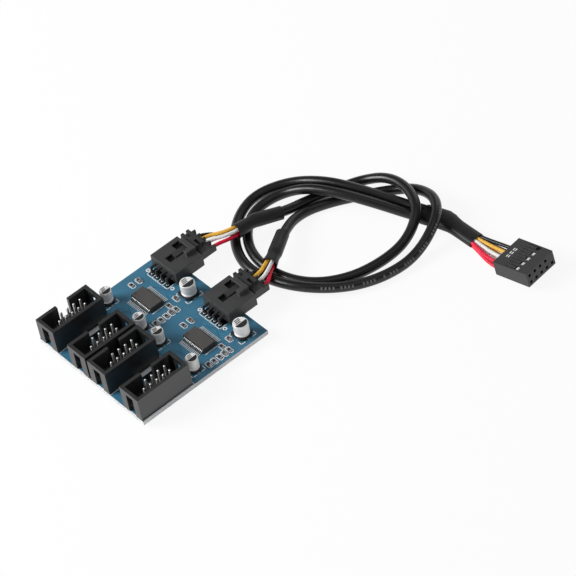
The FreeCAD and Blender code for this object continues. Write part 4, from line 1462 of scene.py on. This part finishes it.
    def build_shrink(self) -> None:
        """Shapes the heat-shrink: flared at its mouth, drawn in on the wires, stepped over the jacket."""
        start = -(self.jacket_end - self.mouth).length
        keys = [(start, self.mouth_radius), (-self.neck_gap, self.neck_radius),
                (self.bulge_gap, self.bulge_radius), (self.tail_length, self.tail_radius)]
        stations = [keys[0]]
        for (first, wide), (last, narrow) in zip(keys, keys[1:]):
            for step in range(1, self.shrink_rings + 1):
                share = step / self.shrink_rings
                stations.append((first + (last - first) * share, wide + (narrow - wide) * eased(share)))
        outer = [self.shrink_ring(*station) for station in stations]
        inner = [self.shrink_ring(spot, radius - self.shrink_wall) for spot, radius in reversed(stations)]
        shape = Shape()
        shape.loft(outer + inner + outer[:1], (False, False))
        shrink = shape.piece(f"heat_shrink_tube_{self.side}", Finishes.SHRINK, smooth_angle=TUBE_ANGLE)
        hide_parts(f"heat_shrink_{self.side}")

    def shrink_ring(self, spot: float, radius: float) -> list[Vector]:
        """Works out one ring of the heat-shrink, turned smoothly through the bend.

        Args:
            spot: The distance from the jacket's end.
            radius: The ring's radius.

        Returns:
            The ring's points.
        """
        share = eased((spot + self.neck_gap) / (2 * self.neck_gap))
        direction = self.inward.lerp(self.along, share).normalized()
        middle = self.jacket_end + (self.inward if spot < 0 else self.along) * spot
        across = direction.cross(UP).normalized()
        return oval(middle, across, across.cross(direction), radius, radius, self.squareness, self.sides)

    def declare(self, jacket: bpy.types.Object, pieces: list[str]) -> None:
        """Args:
            jacket: The jacket's object, which is not used.
            pieces: The names of the pieces on the cable, which is not used.
        """
        own = [f"wire_{self.side}_{colour}_input" for colour in self.colours]
        own += [f"{name}_{self.side}" for name in ("heat_shrink_tube", "input_plug", "input_plug_contacts")]
        own += [self.print_name] if self.marked else []


@dataclass
class HostEnd:
    """The joined end of both cables: sleeve, eight bare wires and the two-row socket plug."""

    sleeve_neck: float = 4.0
    sleeve_length: float = 14.0
    sleeve_profile: tuple[Point, ...] = ((-8.0, 3.72, 2.02), (-7.4, 3.8, 2.1), (-4.0, 3.8, 2.1),
                                         (-0.6, 3.76, 2.08), (1.6, 3.5, 1.98), (3.2, 3.14, 1.8),
                                         (5.0, 2.96, 1.7), (9.0, 2.93, 1.68), (13.5, 2.96, 1.7),
                                         (14.0, 2.9, 1.66))
    sleeve_wall: float = 0.25
    squareness: float = 2.6
    wire_diameter: float = 1.25
    wire_spacing: float = 1.28
    pitch: float = 2.54
    plug_distance: float = 26.8
    plug_shift: float = 1.65
    plug_yaw: float = 6.0
    plug_lift: float = 10.0
    plug_height: float = 5.18
    plug_edge: float = 0.12
    contact_back: float = 4.6
    tang_start: float = 9.0
    tang_length: float = 0.95
    tang_width: float = 1.2
    tang_rise: float = 0.3
    tang_depth: float = 0.47
    stroke_rows: Pair = (2.1, 2.9)
    stroke_places: Point = (1.5, -0.2, -1.9)
    stroke_length: float = 1.1
    stroke_width: float = 0.35
    stroke_sink: float = 0.02
    stroke_rise: float = 0.012
    sides: int = 44
    columns: dict[str, int] = field(default_factory=lambda: HOST_COLUMNS)
    rows: dict[str, int] = field(default_factory=lambda: HOST_ROWS)

    def __post_init__(self) -> None:
        """Works out the sleeve's bend and the plug's place."""
        first, second = [[Vector(point) for point in CABLE_ROUTES[side]] for side in CHANNELS]
        self.bend = (first[-1] + second[-1]) / 2
        self.entry = (first[-1] - first[-2]).normalized()
        spot = self.bend + ALONG_X * self.plug_distance + Vector((0, self.plug_shift, -self.bend.z))
        turn = Matrix.Rotation(math.radians(self.plug_yaw), 4, "Z")
        lift = Matrix.Rotation(math.radians(-self.plug_lift), 4, "Y")
        self.seat = Matrix.Translation(spot) @ turn @ lift

    def build(self) -> list[str]:
        """Builds the sleeve, the wires and the plug's print.

        Returns:
            The names of the pieces that both cables carry.
        """
        self.build_sleeve()
        names = ["joint_sleeve_tube", "host_plug", "host_plug_contacts", "host_plug_print",
                 "host_plug_glint_tangs"]
        for side in CHANNELS:
            for colour in self.columns:
                name = f"wire_{side}_{colour}_host"
                route = self.host_wire(side, colour)
                wire = round_cord(name, route, self.wire_diameter, WIRE_FINISHES[colour])
                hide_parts(f"wire_{side}_{colour}")
                names.append(name)
        dress_node("host_plug", Finishes.PLUG, self.plug_edge)
        # The contacts take tin painted dark as shade, so the windows read black.
        dress_node("host_plug_contacts", Finishes.DARK_LEAD)
        self.build_plug_print()
        self.build_tangs()
        return names

    def host_wire(self, side: str, colour: str) -> list[Vector]:
        """Returns the route of one bare wire from the jackets' ends to its contact.

        Args:
            side: The channel, which picks the row.
            colour: The wire's colour, which picks the column.

        Returns:
            Its control points.
        """
        column, row = self.columns[colour], self.rows[side]
        order = sorted(self.columns.values()).index(column)
        middle = (len(self.columns) - 1) / 2
        across = Vector((0, (order - middle) * self.wire_spacing, row * self.wire_spacing / 2))
        slant = self.entry.y / self.entry.x
        start = self.bend + across + ALONG_X * ((self.wire_diameter - across.y) * slant)
        inside, outside = [self.bend + across + ALONG_X * (self.sleeve_length + way * self.wire_diameter)
                           for way in (-1, 1)]
        cell_y = column * self.pitch
        cell_z = self.plug_height / 2 + row * self.pitch / 2
        spots = (-2 * self.wire_diameter, self.contact_back)
        ends = [self.seat @ Vector((x, cell_y, cell_z)) for x in spots]
        return [start, inside, outside, *ends]

    def build_sleeve(self) -> None:
        """Shapes the sleeve from both jackets down to the eight wires."""
        outer = [self.sleeve_ring(*station) for station in self.sleeve_profile]
        inner = [self.sleeve_ring(spot, width - self.sleeve_wall, height - self.sleeve_wall)
                 for spot, width, height in reversed(self.sleeve_profile)]
        shape = Shape()
        shape.loft(outer + inner + outer[:1], (False, False))
        sleeve = shape.piece("joint_sleeve_tube", Finishes.SHRINK, smooth_angle=TUBE_ANGLE)
        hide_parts("joint_sleeve")

    def sleeve_ring(self, spot: float, half_width: float, half_height: float) -> list[Vector]:
        """Works out one ring of the sleeve, turned smoothly through the bend.

        Args:
            spot: The distance from the bend.
            half_width: Half of the ring's width.
            half_height: Half of its height.

        Returns:
            The ring's points.
        """
        share = eased((spot + self.sleeve_neck) / (2 * self.sleeve_neck))
        direction = self.entry.lerp(ALONG_X, share).normalized()
        middle = self.bend + (self.entry if spot < 0 else ALONG_X) * spot
        across = UP.cross(direction).normalized()
        return oval(middle, across, UP, half_width, half_height, self.squareness, self.sides)

    def build_plug_print(self) -> None:
        """Prints two rows of plain white strokes on the plug's upper face."""
        shape = Shape()
        top = self.plug_height
        half = self.stroke_length / 2
        for y in self.stroke_places:
            for start in self.stroke_rows:
                shape.box((start, y - half, top - self.stroke_sink),
                          (start + self.stroke_width, y + half, top + self.stroke_rise))
        shape.points = [self.seat @ point for point in shape.points]
        shape.piece("host_plug_print", Finishes.INK)

    def build_tangs(self) -> None:
        """Sets the locking tang that shows in each upper window over a contact, in a bright copy of the tin
        that paints a glint there.
        """
        shape = Shape()
        level = self.plug_height - self.tang_depth
        for column in self.columns.values():
            y = column * self.pitch
            shape.box((self.tang_start, y - self.tang_width / 2, level),
                      (self.tang_start + self.tang_length, y + self.tang_width / 2, level + self.tang_rise))
        shape.points = [self.seat @ point for point in shape.points]
        shape.piece("host_plug_glint_tangs", Finishes.TERMINAL)


@dataclass(frozen=True)
class SoftBox:
    """A square soft light that looks at the middle of the part."""

    name: str
    spot: Point
    size: float
    power: float

    def hang(self, target: Vector) -> None:
        """Hangs the light and turns it towards a target.

        Args:
            target: The point that it faces, in millimetres.
        """
        lamp = bpy.data.lights.new(self.name, "AREA")
        lamp.shape = "SQUARE"
        lamp.size = self.size * MM
        lamp.energy = self.power
        hung = bpy.data.objects.new(self.name, lamp)
        hung.location = Vector(self.spot) * MM
        hung.rotation_euler = (target - Vector(self.spot)).to_track_quat("-Z", "Y").to_euler()
        bpy.context.scene.collection.objects.link(hung)


@dataclass
class Studio:
    """The floor, the soft lights, the backdrop and the camera."""

    azimuth: float = 56.78
    elevation: float = 45.40
    roll: float = -11.12
    eye: Point = (569.8, -323.0, 673.2)
    target: Point = (20.0, 35.0, 0.0)
    lens: float = 187.5
    clip: Pair = (50.0, 20000.0)
    floor_size: float = 6000.0
    floor_drop: float = 0.05
    floor_colour: Colour = (0.94, 0.94, 0.94)
    floor_roughness: float = 0.9
    floor_glow: float = 0.9
    sky_colour: Colour = (0.20, 0.205, 0.21)
    sky_white_below: float = 0.08
    sky_grey_above: float = 0.55
    lights: tuple[SoftBox, ...] = (SoftBox("key_light", (-380, -500, 470), 420, 6.8),
                                   SoftBox("top_light", (140, 120, 760), 560, 0.4),
                                   SoftBox("rim_light", (-260, 620, 420), 360, 0.4))

    def build(self) -> None:
        """Sets up the stage."""
        bpy.context.scene.view_settings.view_transform = "Standard"
        self.build_floor()
        self.build_backdrop()
        for light in self.lights:
            light.hang(Vector(self.target))
        self.build_camera()

    def build_floor(self) -> None:
        """Lays the white floor, which keeps a part of the shadow."""
        half = self.floor_size / 2 * MM
        mesh = bpy.data.meshes.new("floor")
        level = -self.floor_drop * MM
        corners = [(-half, -half, level), (half, -half, level), (half, half, level), (-half, half, level)]
        mesh.from_pydata(corners, [], [(0, 1, 2, 3)])
        floor = bpy.data.objects.new("floor", mesh)
        bpy.context.scene.collection.objects.link(floor)
        paint = Paint("floor")
        paint.set(Base_Color=self.floor_colour, Roughness=self.floor_roughness, Specular_IOR_Level=0.0)
        rays = paint.node("ShaderNodeLightPath").outputs
        kinds = ("Is Camera Ray", "Is Glossy Ray", "Is Transmission Ray")
        seen = sum(Value(paint, rays[kind]) for kind in kinds)
        glow = paint.node("ShaderNodeEmission", inputs={"Color": (1.0, 1.0, 1.0), "Strength": 1.0})
        shaders = {0: seen * self.floor_glow, 1: paint.shader.outputs[0], 2: glow.outputs[0]}
        mixed = paint.node("ShaderNodeMixShader", inputs=shaders)
        paint.feed(paint.output.inputs["Surface"], mixed.outputs[0])
        mesh.materials.append(paint.material)

    def build_backdrop(self) -> None:
        """Makes the world white round the horizon and grey overhead, where the lights hang."""
        world = bpy.data.worlds.new("backdrop")
        bpy.context.scene.world = world
        world.use_nodes = True
        tree = NodeTree(world.node_tree)
        way = tree.node("ShaderNodeTexCoord").outputs["Generated"]
        height = tree.node("ShaderNodeSeparateXYZ", inputs={0: way}).outputs["Z"]
        reach = {"Value": height, "From Min": self.sky_white_below, "From Max": self.sky_grey_above}
        share = tree.node("ShaderNodeMapRange", {"interpolation_type": "SMOOTHSTEP"}, reach)
        colour = tree.mix(share.outputs[0], (1.0, 1.0, 1.0), self.sky_colour)
        light = tree.node("ShaderNodeBackground", inputs={"Color": colour})
        tree.node("ShaderNodeOutputWorld", inputs={"Surface": light.outputs[0]})

    def build_camera(self) -> None:
        """Stands the camera at the viewing angle."""
        turn, tilt, roll = (math.radians(angle) for angle in (self.azimuth, self.elevation, self.roll))
        back = Vector((math.sin(turn) * math.cos(tilt), -math.cos(turn) * math.cos(tilt), math.sin(tilt)))
        level = Vector((math.cos(turn), math.sin(turn), 0))
        right = level * math.cos(roll) + level.cross(-back) * math.sin(roll)
        upward = right.cross(-back)
        lens = bpy.data.cameras.new("camera")
        lens.lens = self.lens
        lens.clip_start, lens.clip_end = [distance * MM for distance in self.clip]
        camera = bpy.data.objects.new("camera", lens)
        axes = Matrix((right, upward, back)).transposed()
        camera.matrix_world = Matrix.Translation(Vector(self.eye) * MM) @ axes.to_4x4()
        bpy.context.scene.collection.objects.link(camera)
        bpy.context.scene.camera = camera


def main() -> None:
    """Builds the stage and the part's assemblies in order."""
    logging.basicConfig(level=logging.INFO, format="%(name)s: %(message)s")
    Studio().build()
    cables = [Cable("a", CABLE_LENGTHS["a"]), Cable("b", CABLE_LENGTHS["b"], marked=True)]
    jackets = [cable.build() for cable in cables]
    shared = HostEnd().build()
    cables[0].declare(jackets[0], shared)
    cables[1].declare(jackets[1], [])
    CircuitBoard().build()
    for number in HEADERS:
        BoxHeader(number).build()
    for side in CHANNELS:
        InputConnector(side).build()
        HubChip(side).build()
    for number in CANS:
        CanCapacitor(number).build()
    SmallParts().build()


if __name__ == "__main__":
    main()
